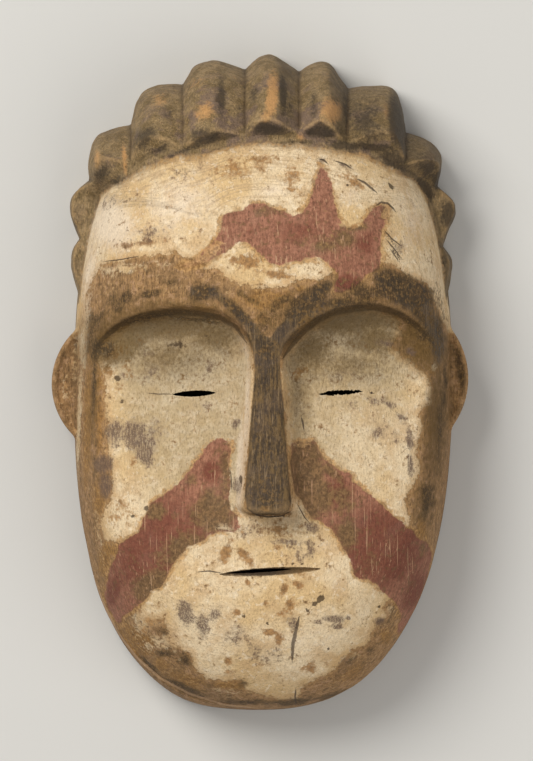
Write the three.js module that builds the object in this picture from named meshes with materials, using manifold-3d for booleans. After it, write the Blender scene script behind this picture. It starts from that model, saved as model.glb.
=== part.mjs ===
// A small carved wooden mask with an oval face, a helmet of wedge-shaped hair tufts and half-round ears.
// It is one block of wood, hollowed from behind, and it lies on its flat back rim with the face up.
// Millimetres. +X is the viewer's right, +Y runs to the top of the head, +Z comes out of the face.
import * as THREE from "three";
import { mergeVertices } from "three/addons/utils/BufferGeometryUtils.js";
import Module from "manifold-3d";

const wasm = await Module();
wasm.setup();

// The head is a rounded box: an oval plan whose rim lies on z = 0, and a front that bulges to its depth.
const head = { halfWidth: 51.8, crown: 84, chin: 90, depth: 56, planPower: 2.5, frontPower: 3 };
const cavity = { halfWidth: 44.3, crown: 76, chin: 82.5, depth: 40, planPower: 2.5, frontPower: 2.6 };
// The carver's oval isn't quite even: its middle line drifts to the left towards the chin.
const middle = { x: 0.85, chinDrift: 0.00017 };

// Hair tufts are ridges that run from the hairline straight back over the head. The two edges of a crest
// and the valley after it are given where they meet the outline, as degrees round a point on the forehead,
// clockwise from straight up, and the height over the head's oval. The band is the low strip between the
// hairline and the bevel that rises to the crest, in radians of latitude.
const hair = { x: 1.4, y: 38.3, lineHalfWidth: 49.2, lineHeight: 26.8 };
const firstValley = { degrees: -104, height: 0.6 };
const tufts = [
  { crest: [-98.2, -93], heights: [2.9, 3.3], valley: -89.2, valleyHeight: 1.9, band: 0.02 },
  { crest: [-83.6, -77.4], heights: [5.3, 7], valley: -70.6, valleyHeight: 3.9, band: 0.02 },
  { crest: [-63.6, -56.6], heights: [6.8, 7.6], valley: -48.6, valleyHeight: 1.7, band: 0.02 },
  { crest: [-41, -35.8], heights: [5.4, 5.6], valley: -27.6, valleyHeight: 1.6, band: 0.045 },
  { crest: [-21.8, -14.6], heights: [5.2, 5], valley: -6.8, valleyHeight: 1.7, band: 0.02 },
  { crest: [-1.6, 3.2], heights: [6.1, 6.2], valley: 11.3, valleyHeight: 1.7, band: 0.03 },
  { crest: [15.4, 20.6], heights: [4.9, 5.7], valley: 28.2, valleyHeight: 1.1, band: 0.055 },
  { crest: [36.8, 41], heights: [7.3, 7.7], valley: 51.6, valleyHeight: 2.7, band: 0.085 },
  { crest: [58.4, 63.4], heights: [7.2, 7.7], valley: 72.1, valleyHeight: 3.4, band: 0.03 },
  { crest: [77.4, 82.4], heights: [6.2, 5.7], valley: 91.2, valleyHeight: 0.6, band: 0.02 },
  { crest: [94.4, 99], heights: [1.8, 1.9], valley: 104.5, valleyHeight: 0.3, band: 0.02 },
];
// Along a tuft: the step at the hairline and the bevel, in radians of latitude, and the band's height.
const hairStep = 0.012;
const crestBevel = 0.04;
const bandHeight = 1.6;
const rowsBehindBevel = 6;

// Each brow is an arch with a flatter or steeper fall on either side of its highest point. A higher power
// keeps it flat for longer.
const leftBrow = { peakX: -25, peakY: 20.8, outer: 28, inner: 22.5, fall: 15, power: 2.4 };
const rightBrow = { peakX: 33, peakY: 22.6, outer: 30, inner: 27, fall: 15, power: 1.6 };
const browLean = 0.38; // how far the wall under a brow comes forward for each millimetre it goes down
const browRimHeight = 54;

// The cheeks lie in one shallow hollow that runs out at the mouth.
const cheek = { underBrow: 45.6, atMouth: 53.4, browY: 8, mouthY: -48, sideFall: 0.004 };

// The nose is a long wedge, wider and higher towards its tip.
const nose = {
  bridgeY: 13, tipY: -35.8, middleX: 1.95,
  bridgeHalfWidth: 3, tipHalfWidth: 6.3, bridgeZ: 55.4, tipZ: 62, rootZ: 40, flank: 0.28,
};

const eyes = [
  { x: -17.9, y: -3.15, length: 12, height: 1.9, tilt: 0.04 },
  { x: 22, y: -2.9, length: 12, height: 1.3, tilt: 0.06 },
];
const mouth = { x: 2.75, y: -51.6, length: 28, height: 2.4, slit: 0.9, depth: 4, tilt: 0.06 };

// Each ear is the edge of an upright disc that shows beside the head.
const ears = [
  { side: -1, y: -0.5, reach: 57, chord: 14.5, sagitta: 6.3 },
  { side: 1, y: 1, reach: 57, chord: 14, sagitta: 5 },
];
const earBack = 10;
const earThickness = 10;
const earRim = 1.5;
const earDish = 1;

function solidFrom(geometry) {
  geometry.deleteAttribute("normal");
  geometry.deleteAttribute("uv");
  const merged = mergeVertices(geometry, 1e-4);
  const vertProperties = new Float32Array(merged.attributes.position.array);
  const triVerts = new Uint32Array(merged.index.array);
  return new wasm.Manifold(new wasm.Mesh({ numProp: 3, vertProperties, triVerts }));
}

// Moves every vertex of a plain geometry with place, which changes the point that it is given.
function bent(geometry, place) {
  const at = geometry.attributes.position;
  const point = new THREE.Vector3();
  for (let i = 0; i < at.count; i++) {
    point.fromBufferAttribute(at, i);
    place(point);
    at.setXYZ(i, point.x, point.y, point.z);
  }
  return solidFrom(geometry);
}

function middleX(y) {
  return middle.x - middle.chinDrift * Math.min(0, y) ** 2;
}

// How far out a point of the plan is: 0 in the middle of the oval, 1 on its edge.
function planRadius(form, x, y) {
  const across = Math.abs(x - middleX(y)) / form.halfWidth;
  const along = Math.abs(y) / (y > 0 ? form.crown : form.chin);
  return (across ** form.planPower + along ** form.planPower) ** (1 / form.planPower);
}

// The height of the front at a given plan radius.
function frontHeight(form, radius) {
  return form.depth * Math.max(0, 1 - radius ** form.frontPower) ** (1 / form.frontPower);
}

// A ball pulled out to the rounded box of form.
function roundedBox(form, around, upAndDown) {
  const ball = new THREE.SphereGeometry(1, around, upAndDown).rotateX(Math.PI / 2);
  return bent(ball, (p) => {
    const flat = Math.hypot(p.x, p.y);
    const alongPlan = (Math.abs(p.x) ** form.planPower + Math.abs(p.y) ** form.planPower) ** (1 / form.planPower);
    const reach = flat > 0 ? flat ** (2 / form.frontPower) / alongPlan : 0;
    const y = p.y * reach * (p.y > 0 ? form.crown : form.chin);
    const x = middleX(y) + p.x * reach * form.halfWidth;
    p.set(x, y, Math.sign(p.z) * form.depth * Math.abs(p.z) ** (2 / form.frontPower));
  });
}

// How far from one plan point towards another the head's plan radius reaches the wanted value.
function planPointAt(from, to, wanted) {
  const point = new THREE.Vector2();
  let near = 0;
  let far = 1;
  for (let i = 0; i < 40; i++) {
    const share = (near + far) / 2;
    point.lerpVectors(from, to, share);
    if (planRadius(head, point.x, point.y) < wanted) near = share;
    else far = share;
  }
  return point;
}

// The plan line that one column of the hair follows, from the hairline to the head's outline.
function hairColumn(degrees) {
  const highest = 0.985; // the hairline's largest plan radius, which it keeps down the temples
  const angle = THREE.MathUtils.degToRad(degrees);
  const centre = new THREE.Vector2(hair.x, hair.y);
  const outside = new THREE.Vector2(Math.sin(angle), Math.cos(angle)).multiplyScalar(2 * head.crown).add(centre);
  const end = planPointAt(centre, outside, 1);
  const across = Math.min(1, Math.abs(end.x - hair.x) / hair.lineHalfWidth);
  const start = new THREE.Vector2(end.x, hair.y + hair.lineHeight * Math.sqrt(1 - across ** 2));
  if (start.y > end.y || planRadius(head, start.x, start.y) > highest)
    start.copy(planPointAt(new THREE.Vector2(middleX(end.y), end.y), end, highest));
  const latitude = Math.acos(planRadius(head, start.x, start.y) ** (head.frontPower / 2));
  return { start, end, latitude };
}

// The point of the head's surface on a column at a given latitude: 0 is the rim.
function headPoint({ start, end }, latitude) {
  const plan = planPointAt(start, end, Math.cos(latitude) ** (2 / head.frontPower));
  const z = Math.sign(latitude) * head.depth * Math.abs(Math.sin(latitude)) ** (2 / head.frontPower);
  return new THREE.Vector3(plan.x, plan.y, z);
}

function headNormal(point) {
  const step = 0.05;
  const f = (x, y, z) =>
    planRadius(head, x, y) ** head.frontPower + Math.abs(z / head.depth) ** head.frontPower;
  const { x, y, z } = point;
  return new THREE.Vector3(
    f(x + step, y, z) - f(x - step, y, z),
    f(x, y + step, z) - f(x, y - step, z),
    f(x, y, z + step) - f(x, y, z - step),
  ).normalize();
}

// The stations across the hair: each tuft gives the two edges of its crest and the valley after it.
function hairStations() {
  const stations = [{ ...firstValley, band: tufts[0].band }];
  for (const { crest, heights, valley, valleyHeight, band } of tufts) {
    crest.forEach((degrees, i) => stations.push({ degrees, height: heights[i], band }));
    stations.push({ degrees: valley, height: valleyHeight, band });
  }
  return stations;
}

// One cap of tufts: a flat box whose columns follow the stations and whose rows run from the hairline back.
function hairCap() {
  const stations = hairStations();
  const columns = stations.map(({ degrees }) => hairColumn(degrees));
  const buried = -3;
  const justUnder = -0.3;
  const underRim = -0.25;
  const rows = rowsBehindBevel + 3;
  const box = new THREE.BoxGeometry(1, 1, 1, stations.length - 1, 1, rows);
  return bent(box, (p) => {
    const index = Math.round((p.x + 0.5) * (stations.length - 1));
    const column = columns[index];
    const { height, band } = stations[index];
    const row = Math.round((0.5 - p.z) * rows);
    const step = column.latitude - hairStep;
    const crest = step - band - crestBevel;
    const behind = THREE.MathUtils.lerp(crest, underRim, (row - 3) / rowsBehindBevel);
    const latitude = [column.latitude, step, step - band][row] ?? behind;
    const low = Math.min(bandHeight, height);
    const outside = [justUnder, low, low][row] ?? height;
    const offset = p.y > 0 ? outside : buried;
    const onHead = headPoint(column, latitude);
    p.copy(onHead).addScaledVector(headNormal(onHead), offset);
  });
}

function browHeight(brow, x) {
  const width = (x < brow.peakX) === (brow === leftBrow) ? brow.outer : brow.inner;
  const away = Math.min(1, Math.abs(x - brow.peakX) / width);
  return brow.peakY - brow.fall * (1 - (1 - away ** brow.power) ** (1 / brow.power));
}

// The heart-shaped outline under both brows, closed far below them and outside the head.
function faceOutline() {
  const steps = 12;
  const far = 60;
  const low = -70;
  const shape = new THREE.Shape();
  shape.moveTo(-far, low);
  shape.lineTo(-far, leftBrow.peakY - leftBrow.fall);
  for (const brow of [leftBrow, rightBrow]) {
    const [from, to] = brow === leftBrow ? [brow.outer, brow.inner] : [brow.inner, brow.outer];
    for (let i = 0; i <= 2 * steps; i++) {
      const turn = Math.cos((Math.PI * i) / (2 * steps));
      const x = brow.peakX - (turn > 0 ? from : to) * turn;
      shape.lineTo(x, browHeight(brow, x));
    }
  }
  shape.lineTo(far, rightBrow.peakY - rightBrow.fall);
  shape.lineTo(far, low);
  return shape;
}

function cheekFloor(x, y) {
  const down = Math.max(0, THREE.MathUtils.inverseLerp(cheek.browY, cheek.mouthY, y));
  return THREE.MathUtils.lerp(cheek.underBrow, cheek.atMouth, down) - cheek.sideFall * (x - middleX(y)) ** 2;
}

// What is carved away under the brows: the heart-shaped prism, as deep as the cheek floor.
function faceHollow() {
  const top = 80;
  const bottom = 20;
  const prism = new THREE.ExtrudeGeometry(faceOutline(), { depth: top - bottom, bevelEnabled: false });
  const leaning = bent(prism, (p) => {
    p.z += bottom;
    p.y += browLean * (p.z - browRimHeight);
  });
  const block = new THREE.BoxGeometry(116, 92, 1, 26, 20, 1);
  const aboveFloor = bent(block, (p) => {
    p.y -= 15;
    p.z = p.z > 0 ? top : cheekFloor(p.x, p.y);
  });
  return leaning.intersect(aboveFloor);
}

function noseWedge() {
  const steps = 4;
  return bent(new THREE.BoxGeometry(2, 1, 1, 1, steps, 1), (p) => {
    const down = 0.5 - p.y;
    const front = THREE.MathUtils.lerp(nose.bridgeZ, nose.tipZ, down);
    const z = p.z > 0 ? front : nose.rootZ;
    const width = THREE.MathUtils.lerp(nose.bridgeHalfWidth, nose.tipHalfWidth, down ** 1.3);
    const y = THREE.MathUtils.lerp(nose.bridgeY, nose.tipY, down);
    p.set(nose.middleX + p.x * (width + nose.flank * (front - z)), y - 0.1 * down * (front - z), z);
  });
}

function earDisc(ear, radius, from, to) {
  const middle = ear.side * (ear.reach - (ear.chord ** 2 + ear.sagitta ** 2) / (2 * ear.sagitta));
  const disc = new THREE.CylinderGeometry(radius, radius, to - from, 64).rotateX(Math.PI / 2);
  return solidFrom(disc.translate(middle, ear.y, (from + to) / 2));
}

// A half-round lug with a raised outer rim round a dished front.
function earLug(ear) {
  const radius = (ear.chord ** 2 + ear.sagitta ** 2) / (2 * ear.sagitta);
  const front = earBack + earThickness;
  const lug = earDisc(ear, radius, earBack, front);
  return lug.subtract(earDisc(ear, radius - earRim, front - earDish, front + 1));
}

// A slit with pointed ends, right through the wall.
function slit({ x, y, length, height, tilt }) {
  const shape = new THREE.Shape();
  shape.moveTo(-length / 2, 0);
  shape.quadraticCurveTo(0, height, length / 2, 0);
  shape.quadraticCurveTo(0, -height, -length / 2, 0);
  const cut = new THREE.ExtrudeGeometry(shape, { depth: 60, bevelEnabled: false, curveSegments: 8 });
  return solidFrom(cut.rotateZ(tilt).translate(x, y, 10));
}

// The mouth is a groove that narrows to a thin slit through the wall.
function mouthCut() {
  const lips = slit({ ...mouth, height: mouth.height });
  const { x, y, slit: thin, depth } = mouth;
  const surface = frontHeight(head, planRadius(head, x, y));
  const above = solidFrom(new THREE.BoxGeometry(60, 20, 20).translate(x, y, surface - depth + 10));
  return lips.intersect(above).add(slit({ ...mouth, length: mouth.length * 0.8, height: thin }));
}

function maskSolid() {
  let mask = roundedBox(head, 72, 28);
  mask = mask.subtract(faceHollow());
  mask = mask.add(noseWedge()).add(hairCap());
  for (const ear of ears) mask = mask.add(earLug(ear));
  mask = mask.subtract(roundedBox(cavity, 44, 20));
  for (const eye of eyes) mask = mask.subtract(slit(eye));
  mask = mask.subtract(mouthCut());
  const saw = new THREE.BoxGeometry(300, 300, 2 * head.depth).translate(0, 0, -head.depth);
  return mask.subtract(solidFrom(saw));
}

function meshFrom(solid, name, material) {
  const made = solid.getMesh();
  const geometry = new THREE.BufferGeometry();
  geometry.setAttribute("position", new THREE.BufferAttribute(made.vertProperties, made.numProp));
  geometry.setIndex(new THREE.BufferAttribute(made.triVerts, 1));
  geometry.computeVertexNormals();
  const mesh = new THREE.Mesh(geometry, material);
  mesh.name = name;
  return mesh;
}

const paintedWood = new THREE.MeshStandardMaterial({ color: 0xcdb48c, roughness: 0.8, metalness: 0 });
const group = new THREE.Group();
group.add(meshFrom(maskSolid(), "mask", paintedWood));

export default group;
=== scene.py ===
# A small carved wooden mask that lies on its flat back rim with the face up, seen from straight above.
# The carving is worked out as one field of distances in millimetres, negative inside the wood, and meshed.
import math

import bpy
import numpy as np
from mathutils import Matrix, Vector
from mathutils.kdtree import KDTree


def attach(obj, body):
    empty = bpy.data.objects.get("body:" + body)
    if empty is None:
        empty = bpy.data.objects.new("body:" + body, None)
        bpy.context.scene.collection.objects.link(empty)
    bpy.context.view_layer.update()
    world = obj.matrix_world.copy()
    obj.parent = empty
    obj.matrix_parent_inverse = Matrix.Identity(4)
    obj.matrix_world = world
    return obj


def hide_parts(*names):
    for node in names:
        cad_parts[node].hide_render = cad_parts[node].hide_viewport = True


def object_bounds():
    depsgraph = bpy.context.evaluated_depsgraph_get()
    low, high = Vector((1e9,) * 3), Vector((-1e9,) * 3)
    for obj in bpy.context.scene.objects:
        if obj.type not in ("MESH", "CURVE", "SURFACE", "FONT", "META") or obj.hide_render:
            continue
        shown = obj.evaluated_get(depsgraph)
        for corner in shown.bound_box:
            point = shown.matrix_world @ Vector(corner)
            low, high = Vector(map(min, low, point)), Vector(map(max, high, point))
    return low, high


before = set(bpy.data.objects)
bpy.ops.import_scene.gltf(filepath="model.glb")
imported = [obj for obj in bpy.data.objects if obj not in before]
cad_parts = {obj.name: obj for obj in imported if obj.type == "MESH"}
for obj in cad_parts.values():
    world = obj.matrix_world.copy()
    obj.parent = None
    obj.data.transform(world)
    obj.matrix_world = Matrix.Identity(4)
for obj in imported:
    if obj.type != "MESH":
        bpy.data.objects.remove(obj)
cad_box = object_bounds()
MM = 0.001

# The head and its hollow are rounded boxes: an oval plan on z = 0 and a front that bulges to its depth.
HEAD = dict(half_width=51.8, crown=84, chin=89.95, depth=56, plan_power=2.5, front_power=3)
HOLLOW = dict(half_width=44.3, crown=76, chin=82.5, depth=40, plan_power=2.5, front_power=2.6)
MIDDLE_X = 0.85
CHIN_DRIFT = 0.00017

# Hair tufts: points of the outline as degrees round HAIR_CENTRE, clockwise from straight up, and height
# over the oval. A band lies between the hairline and the bevel up to each crest.
HAIR_CENTRE = (1.4, 38.3)
HAIRLINE_HALF_WIDTH = 49.2
HAIRLINE_HEIGHT = 26.8
TEMPLE_RADIUS = 0.985
TEMPLE_TURN = (58, 76)  # degrees between which the tufts turn from upright to level
HAIR_LOWEST = 10
HAIRLINE_SWAYS = [(-16, 6, -1.7), (30, 6, 1.6)]
LEFT_TEMPLE = (67, 79)
RIGHT_TEMPLE = (60, 78)
HAIR_OUTLINE = [
    (-105, 0), (-101.8, 1.3), (-98.2, 2.8), (-93, 3.3), (-89.3, 1.9),
    (-84.1, 5), (-81.5, 6.2), (-77.6, 7), (-75, 6.1), (-70.6, 3.9),
    (-64, 6.6), (-58.7, 7.6), (-56, 7.4), (-51.6, 4), (-48.7, 1.6),
    (-42.5, 4.6), (-40.8, 5.3), (-37.6, 5.7), (-34.4, 4.9), (-27.6, 1.5),
    (-22.3, 5), (-19.5, 5.5), (-15.6, 5.2), (-10.6, 3.1), (-6.8, 1.6),
    (-2.8, 4.9), (-0.6, 5.8), (2, 5.9), (4, 5.4), (8.7, 2.7), (11.5, 1.6),
    (14.2, 4), (16.6, 5.3), (18.6, 5.8), (20.4, 5.6), (25.4, 2.3), (28.2, 1),
    (34.9, 5.6), (38, 7.9), (40.6, 7.7), (46.9, 4.8), (51.8, 2.6),
    (57.4, 6.6), (60.6, 7.6), (63.4, 7.8), (67.2, 6), (72.1, 3.4),
    (76.7, 5.8), (79, 6.5), (82.6, 5.5), (86, 3.3), (91.3, 0.5),
    (94.9, 1.9), (97, 2.2), (100.3, 1.4), (105, 0),
]
HAIR_REACH = HAIR_OUTLINE[-1][0]
DEGREE_STEP = 0.1
TUFT_CRESTS = [-95.5, -80, -60, -39, -18, 1, 18.5, 39, 61.5, 80, 97]
TUFT_BANDS = [1, 1, 1, 2, 1, 1.6, 2.4, 1.3, 1.2, 1, 1]
TUFT_BEVELS = [2, 2, 2.2, 2.6, 2.2, 2, 2.4, 5, 2.6, 2, 2]
TUFT_SOFTNESS = 1.1
BAND_HEIGHT = 1.1
BAND_STEP = 0.9

# Brows are arches; below them the face is sunk to the cheek floor.
LEFT_BROW = dict(x=-25, y=20.8, left=28, right=23, fall=15, power=2.4)
RIGHT_BROW = dict(x=33, y=22.6, left=27, right=30, fall=15, power=1.6)
BROW_LEAN = 0.38
BROW_RIM = 54
CHEEK = dict(under_brow=45.6, at_mouth=53.4, brow_y=8, mouth_y=-48, side_fall=0.004, fillet=4.5)
BROWS_MEET = (-3, 6)
RIDGE_OVER_TIP = 5

# How much the edge of the sunken face is rounded: at the brows, how much more at the jaw, and from where
# to where in y it grows.
BROW_EDGE = 1.1
JAW_EDGE_MORE = 6
EDGE_SOFTENS = (0, -38)

# The nose widens and rises from the bridge to the tip, and each of its edges has its own rounding.
NOSE = dict(
    bridge_y=16, tip_y=-35.9, x=2, bridge=3.2, tip=6.1, bridge_z=54.2, tip_z=62, flank=0.28, widening=1.3,
    undercut=0.05, side_round=3.2, front_round=2, bridge_round=1, fillet=1.8, fillet_less_under=1.1,
)
EARS = [
    dict(side=-1, y=-0.5, reach=57, chord=14.5, sagitta=6.3),
    dict(side=1, y=1, reach=57, chord=14, sagitta=5),
]
EAR_BACK = 10
EAR_FRONT = 20
EAR_RIM = 1.5
EAR_DISH = 0.9
EAR_ROUND = 1.2
EAR_DISH_ROUND = 1.6

EYES = [
    dict(x=-17.9, y=-3.15, length=11.6, height=1.55, tilt=0.04, ragged=0.05, seed=3),
    dict(x=22, y=-2.9, length=12, height=1.25, tilt=0.06, ragged=0.16, seed=8),
]
MOUTH = dict(x=2.75, y=-51.6, length=27.5, height=2.2, tilt=0.055, ragged=0.09, seed=5)
MOUTH_SLIT = dict(x=0, y=-51.4, length=17, height=0.8, tilt=0.06, ragged=0.05, seed=6)
MOUTH_DEPTH = 3.2
MOUTH_REACH = 13.7
LENS_POWER = 0.75
LEAST_SLIT = 0.05

# The cutters for the slits reach from inside the hollow to over the nose.
CUT_BOTTOM = 20
CUT_TOP = 70

# A step that the adze left low on the left side of the jaw: a lip at the back rim with a groove over it.
# Where each starts and ends is given in degrees round the chin.
JAW_LIP = dict(
    height=19, rise=0.35, groove=0.8, groove_width=1.4,
    lip_start=(4, 14), lip_end=(48, 36), groove_start=(3, 9), groove_end=(30, 23),
)

# How much the inner edge of the hollow and the edge of the back rim are rounded.
HOLLOW_EDGE = 0.8
RIM_EDGE = 0.5

# Unevenness left by the tools: height in millimetres, size of the bumps (along x, y and z) and seed.
SURFACE_WAVES = [(0.3, 17, 11), (0.08, (4, 6, 4), 12)]
HAIR_WAVES = [(0.22, (3.5, 3.5, 9), 22), (0.1, (1.6, 1.6, 5), 23)]
BAND_WAVES = [(0.35, 6, 21)]
GOUGES = [(0.35, (7, 4, 7), 31), (0.15, (3, 2, 3), 32)]

# Paint, read off the picture: outlines and spots in its pixels, turned into millimetres by from_picture.
PIXEL = 0.27356
PICTURE_SIZE = (533, 761)
PICTURE_MIDDLE = (260, 382)
RED_LEFT_BAND = [
    (222, 438), (214, 440), (206, 446), (200, 457), (190, 470), (181, 480), (172, 489), (160, 497),
    (151, 503), (147, 512), (142, 524), (138, 532), (128, 538), (120, 543), (116, 556), (110, 568),
    (108, 580), (105, 592), (106, 604), (114, 618), (121, 626), (123, 616), (132, 609), (144, 600),
    (154, 590), (164, 583), (168, 575), (172, 566), (178, 558), (184, 552), (188, 546), (203, 540),
    (210, 535), (219, 531), (233, 531), (240, 527), (238, 516), (231, 508), (229, 495), (231, 480),
    (229, 465), (231, 450), (229, 442),
]
RED_RIGHT_BAND = [
    (291, 443), (298, 441), (306, 443), (314, 440), (317, 443), (320, 450), (323, 458), (329, 463),
    (340, 469), (351, 474), (353, 481), (362, 489), (374, 497), (383, 506), (391, 514), (400, 521),
    (405, 526), (412, 529), (415, 537), (426, 541), (430, 549), (432, 558), (428, 575), (422, 593),
    (414, 612), (404, 630), (398, 636), (397, 628), (401, 618), (400, 610), (394, 601), (390, 598),
    (383, 592), (377, 584), (367, 579), (356, 577), (353, 570), (351, 562), (347, 554), (342, 546),
    (337, 538), (333, 530), (325, 524), (319, 521), (312, 519), (306, 510), (300, 500), (294, 490),
    (291, 475), (290, 460),
]
RED_FIGURE = [
    (176, 268), (190, 263), (200, 257), (205, 250), (214, 243), (221, 232), (224, 216), (232, 213),
    (242, 211), (250, 205), (262, 204), (270, 208), (277, 211), (285, 213), (293, 217), (302, 214),
    (307, 207), (311, 196), (314, 186), (317, 178), (320, 165), (326, 172), (331, 182), (333, 196),
    (334, 206), (337, 215), (341, 224), (350, 228), (360, 226), (367, 217), (372, 210), (380, 206),
    (386, 207), (388, 213), (386, 222), (382, 230), (380, 240), (380, 256), (378, 268), (366, 276),
    (358, 284), (350, 290), (342, 293), (334, 293), (333, 287), (338, 279), (336, 272), (330, 268),
    (326, 262), (318, 257), (308, 259), (300, 262), (290, 263), (280, 266), (270, 264), (262, 256),
    (254, 248), (246, 243), (238, 243), (232, 248), (225, 254), (215, 258), (204, 264), (190, 267),
]
CREAM_FOREHEAD = [
    (40, 345), (80, 330), (85, 305), (92, 280), (102, 265), (125, 260), (150, 257), (175, 253), (195, 262),
    (215, 266), (230, 280), (240, 288), (258, 284), (272, 290), (290, 285), (305, 279), (318, 281),
    (330, 274), (345, 262), (378, 262), (388, 262), (400, 270), (412, 279), (427, 283), (434, 300),
    (441, 318), (449, 333), (490, 333), (490, 60), (40, 60),
]
CREAM_FACE = [
    (97, 352), (100, 365), (107, 380), (106, 400), (108, 420), (108, 445), (112, 460), (114, 480),
    (112, 497), (104, 512), (101, 528), (107, 539), (118, 541), (140, 560), (150, 580), (142, 600),
    (141, 618), (152, 620), (165, 614), (168, 625), (170, 635), (175, 645), (183, 648), (192, 652),
    (194, 665), (201, 672), (205, 678), (220, 680), (235, 678), (242, 680), (247, 690), (256, 692),
    (265, 695), (275, 697), (283, 699), (292, 695), (297, 702), (300, 690), (303, 683), (312, 681),
    (320, 676), (330, 672), (338, 662), (345, 655), (355, 648), (365, 645), (368, 638), (373, 630),
    (375, 622), (385, 617), (383, 608), (387, 600), (393, 601), (380, 570), (395, 550), (400, 535),
    (409, 527), (410, 519), (405, 508), (404, 500), (408, 492), (412, 484), (417, 478), (418, 470),
    (416, 455), (416, 440), (421, 430), (419, 415), (422, 405), (430, 403), (431, 388), (425, 376),
    (418, 370), (410, 361), (400, 356), (390, 346), (400, 335), (398, 322), (385, 314), (365, 309),
    (345, 311), (325, 318), (308, 330), (292, 345), (283, 360), (281, 380), (285, 410), (287, 440),
    (289, 470), (293, 500), (292, 512), (285, 516), (262, 517), (248, 513), (243, 505), (246, 470),
    (250, 430), (254, 380), (253, 355), (245, 338), (232, 324), (210, 315), (185, 312), (155, 316),
    (130, 325), (112, 338),
]
DARK_NOSE = [
    (244, 318), (256, 324), (262, 334), (270, 338), (277, 328), (287, 318), (300, 312), (296, 330),
    (284, 345), (280, 357), (280, 372), (283, 400), (285, 430), (288, 470), (291, 500), (289, 511),
    (280, 514), (256, 514), (247, 509), (245, 495), (247, 470), (250, 430), (253, 395), (255, 370),
    (253, 352), (247, 336),
]
DARK_INNER_BROW = [
    (272, 340), (277, 328), (284, 318), (292, 308), (301, 299), (310, 292), (319, 285), (328, 279),
    (336, 284), (331, 293), (336, 300), (350, 303), (362, 306), (345, 311), (325, 317), (308, 329),
    (294, 343), (284, 352),
]
DARK_OUTER_BROW = [
    (372, 274), (380, 270), (392, 273), (408, 279), (425, 285), (432, 298), (440, 318), (446, 340),
    (446, 362), (438, 368), (430, 352), (426, 336), (418, 322), (405, 311), (392, 305), (381, 297),
    (374, 286),
]
DARK_LEFT_BROW = [
    (187, 288), (193, 285), (205, 286), (216, 284), (224, 292), (233, 301), (242, 309), (252, 317),
    (258, 326), (256, 342), (248, 340), (243, 330), (234, 320), (224, 309), (214, 300), (200, 302),
    (190, 298),
]

# Spots: middle x and y, half width, half height, degrees turned clockwise, and strength.
GREY_WEAR = [
    (136, 436, 13, 18, -10, 1), (145, 452, 9, 16, -25, 1), (152, 440, 10, 20, 0, 0.5),
    (116, 432, 12, 17, 0, 0.85), (104, 464, 11, 9, 0, 1), (106, 486, 8, 14, 0, 0.9),
    (118, 445, 10, 6, 0, 0.5), (158, 430, 12, 18, 0, 0.4), (206, 406, 9, 10, 0, 0.3),
    (150, 373, 12, 8, 0, 0.4), (150, 355, 8, 6, 0, 0.35), (122, 373, 5, 7, 0, 0.5),
    (236, 424, 4, 7, 30, 0.8), (237, 486, 5, 11, 0, 0.7), (208, 368, 7, 14, 0, 0.3),
    (372, 400, 10, 5, 20, 0.5), (389, 404, 11, 5, 30, 0.55), (401, 417, 6, 9, -30, 0.55),
    (409, 440, 4, 15, -8, 0.75), (410, 464, 3.5, 16, 0, 0.8), (378, 432, 16, 16, 0, 0.38),
    (350, 404, 12, 6, 0, 0.38), (388, 344, 15, 4, 10, 0.5), (374, 352, 10, 4, -30, 0.4),
    (345, 372, 18, 9, 0, 0.34), (395, 440, 14, 22, 0, 0.3), (410, 352, 8, 5, 20, 0.6),
    (186, 611, 9, 14, -15, 1), (203, 622, 8, 18, 0, 0.7), (214, 612, 8, 12, 20, 0.6),
    (236, 634, 22, 14, 20, 0.4), (255, 649, 16, 11, 0, 0.5), (270, 655, 20, 12, 0, 0.35),
    (334, 618, 13, 4, 0, 0.9), (336, 626, 7, 3, 0, 0.8), (348, 617, 3, 3, 0, 0.8),
    (318, 621, 5, 3, 0, 0.75), (379, 620, 6, 4, 0, 0.9), (292, 622, 9, 7, 0, 0.6),
    (288, 541, 26, 4, 0, 0.6), (310, 548, 4, 14, -7, 0.7), (312, 526, 9, 7, -30, 0.8),
    (300, 553, 12, 11, 0, 0.4), (399, 247, 8, 10, 0, 0.4), (321, 163, 5, 6, 0, 0.6),
    (250, 530, 22, 12, 0, 0.35), (110, 200, 22, 14, -30, 0.3), (344, 166, 10, 3, 20, 0.5),
    (345, 660, 8, 5, 0, 0.35), (150, 235, 44, 14, -8, 0.3), (190, 172, 26, 8, -25, 0.35),
]
DARK_SPOTS = [
    (320, 598, 5.5, 3.6, -35, 1), (314, 603, 2.2, 3, 0, 1), (267, 622, 1.6, 2, 0, 1),
    (241, 479, 2, 5, 0, 1), (307, 609, 2, 3, -30, 0.8), (133, 516, 2.4, 2, 0, 1), (147, 508, 3, 3, 0, 0.9),
    (379, 606, 1.5, 1.8, 0, 0.9), (293, 563, 1.6, 1.8, 0, 0.9), (244, 615, 2, 3, 0, 0.8),
    (123, 401, 3, 3, 0, 0.8), (118, 378, 4, 5, 0, 0.7), (302, 563, 2, 2, 0, 0.8),
    (328, 648, 1.6, 2.2, 0, 0.9), (371, 393, 1.8, 1.6, 0, 0.9), (228, 415, 2, 2, 0, 0.6),
    (390, 186, 3, 6, -40, 0.7), (347, 186, 2, 2, 0, 0.7), (205, 336, 6, 3, 0, 0.5),
    (178, 345, 16, 6, 0, 0.5),
]
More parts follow.
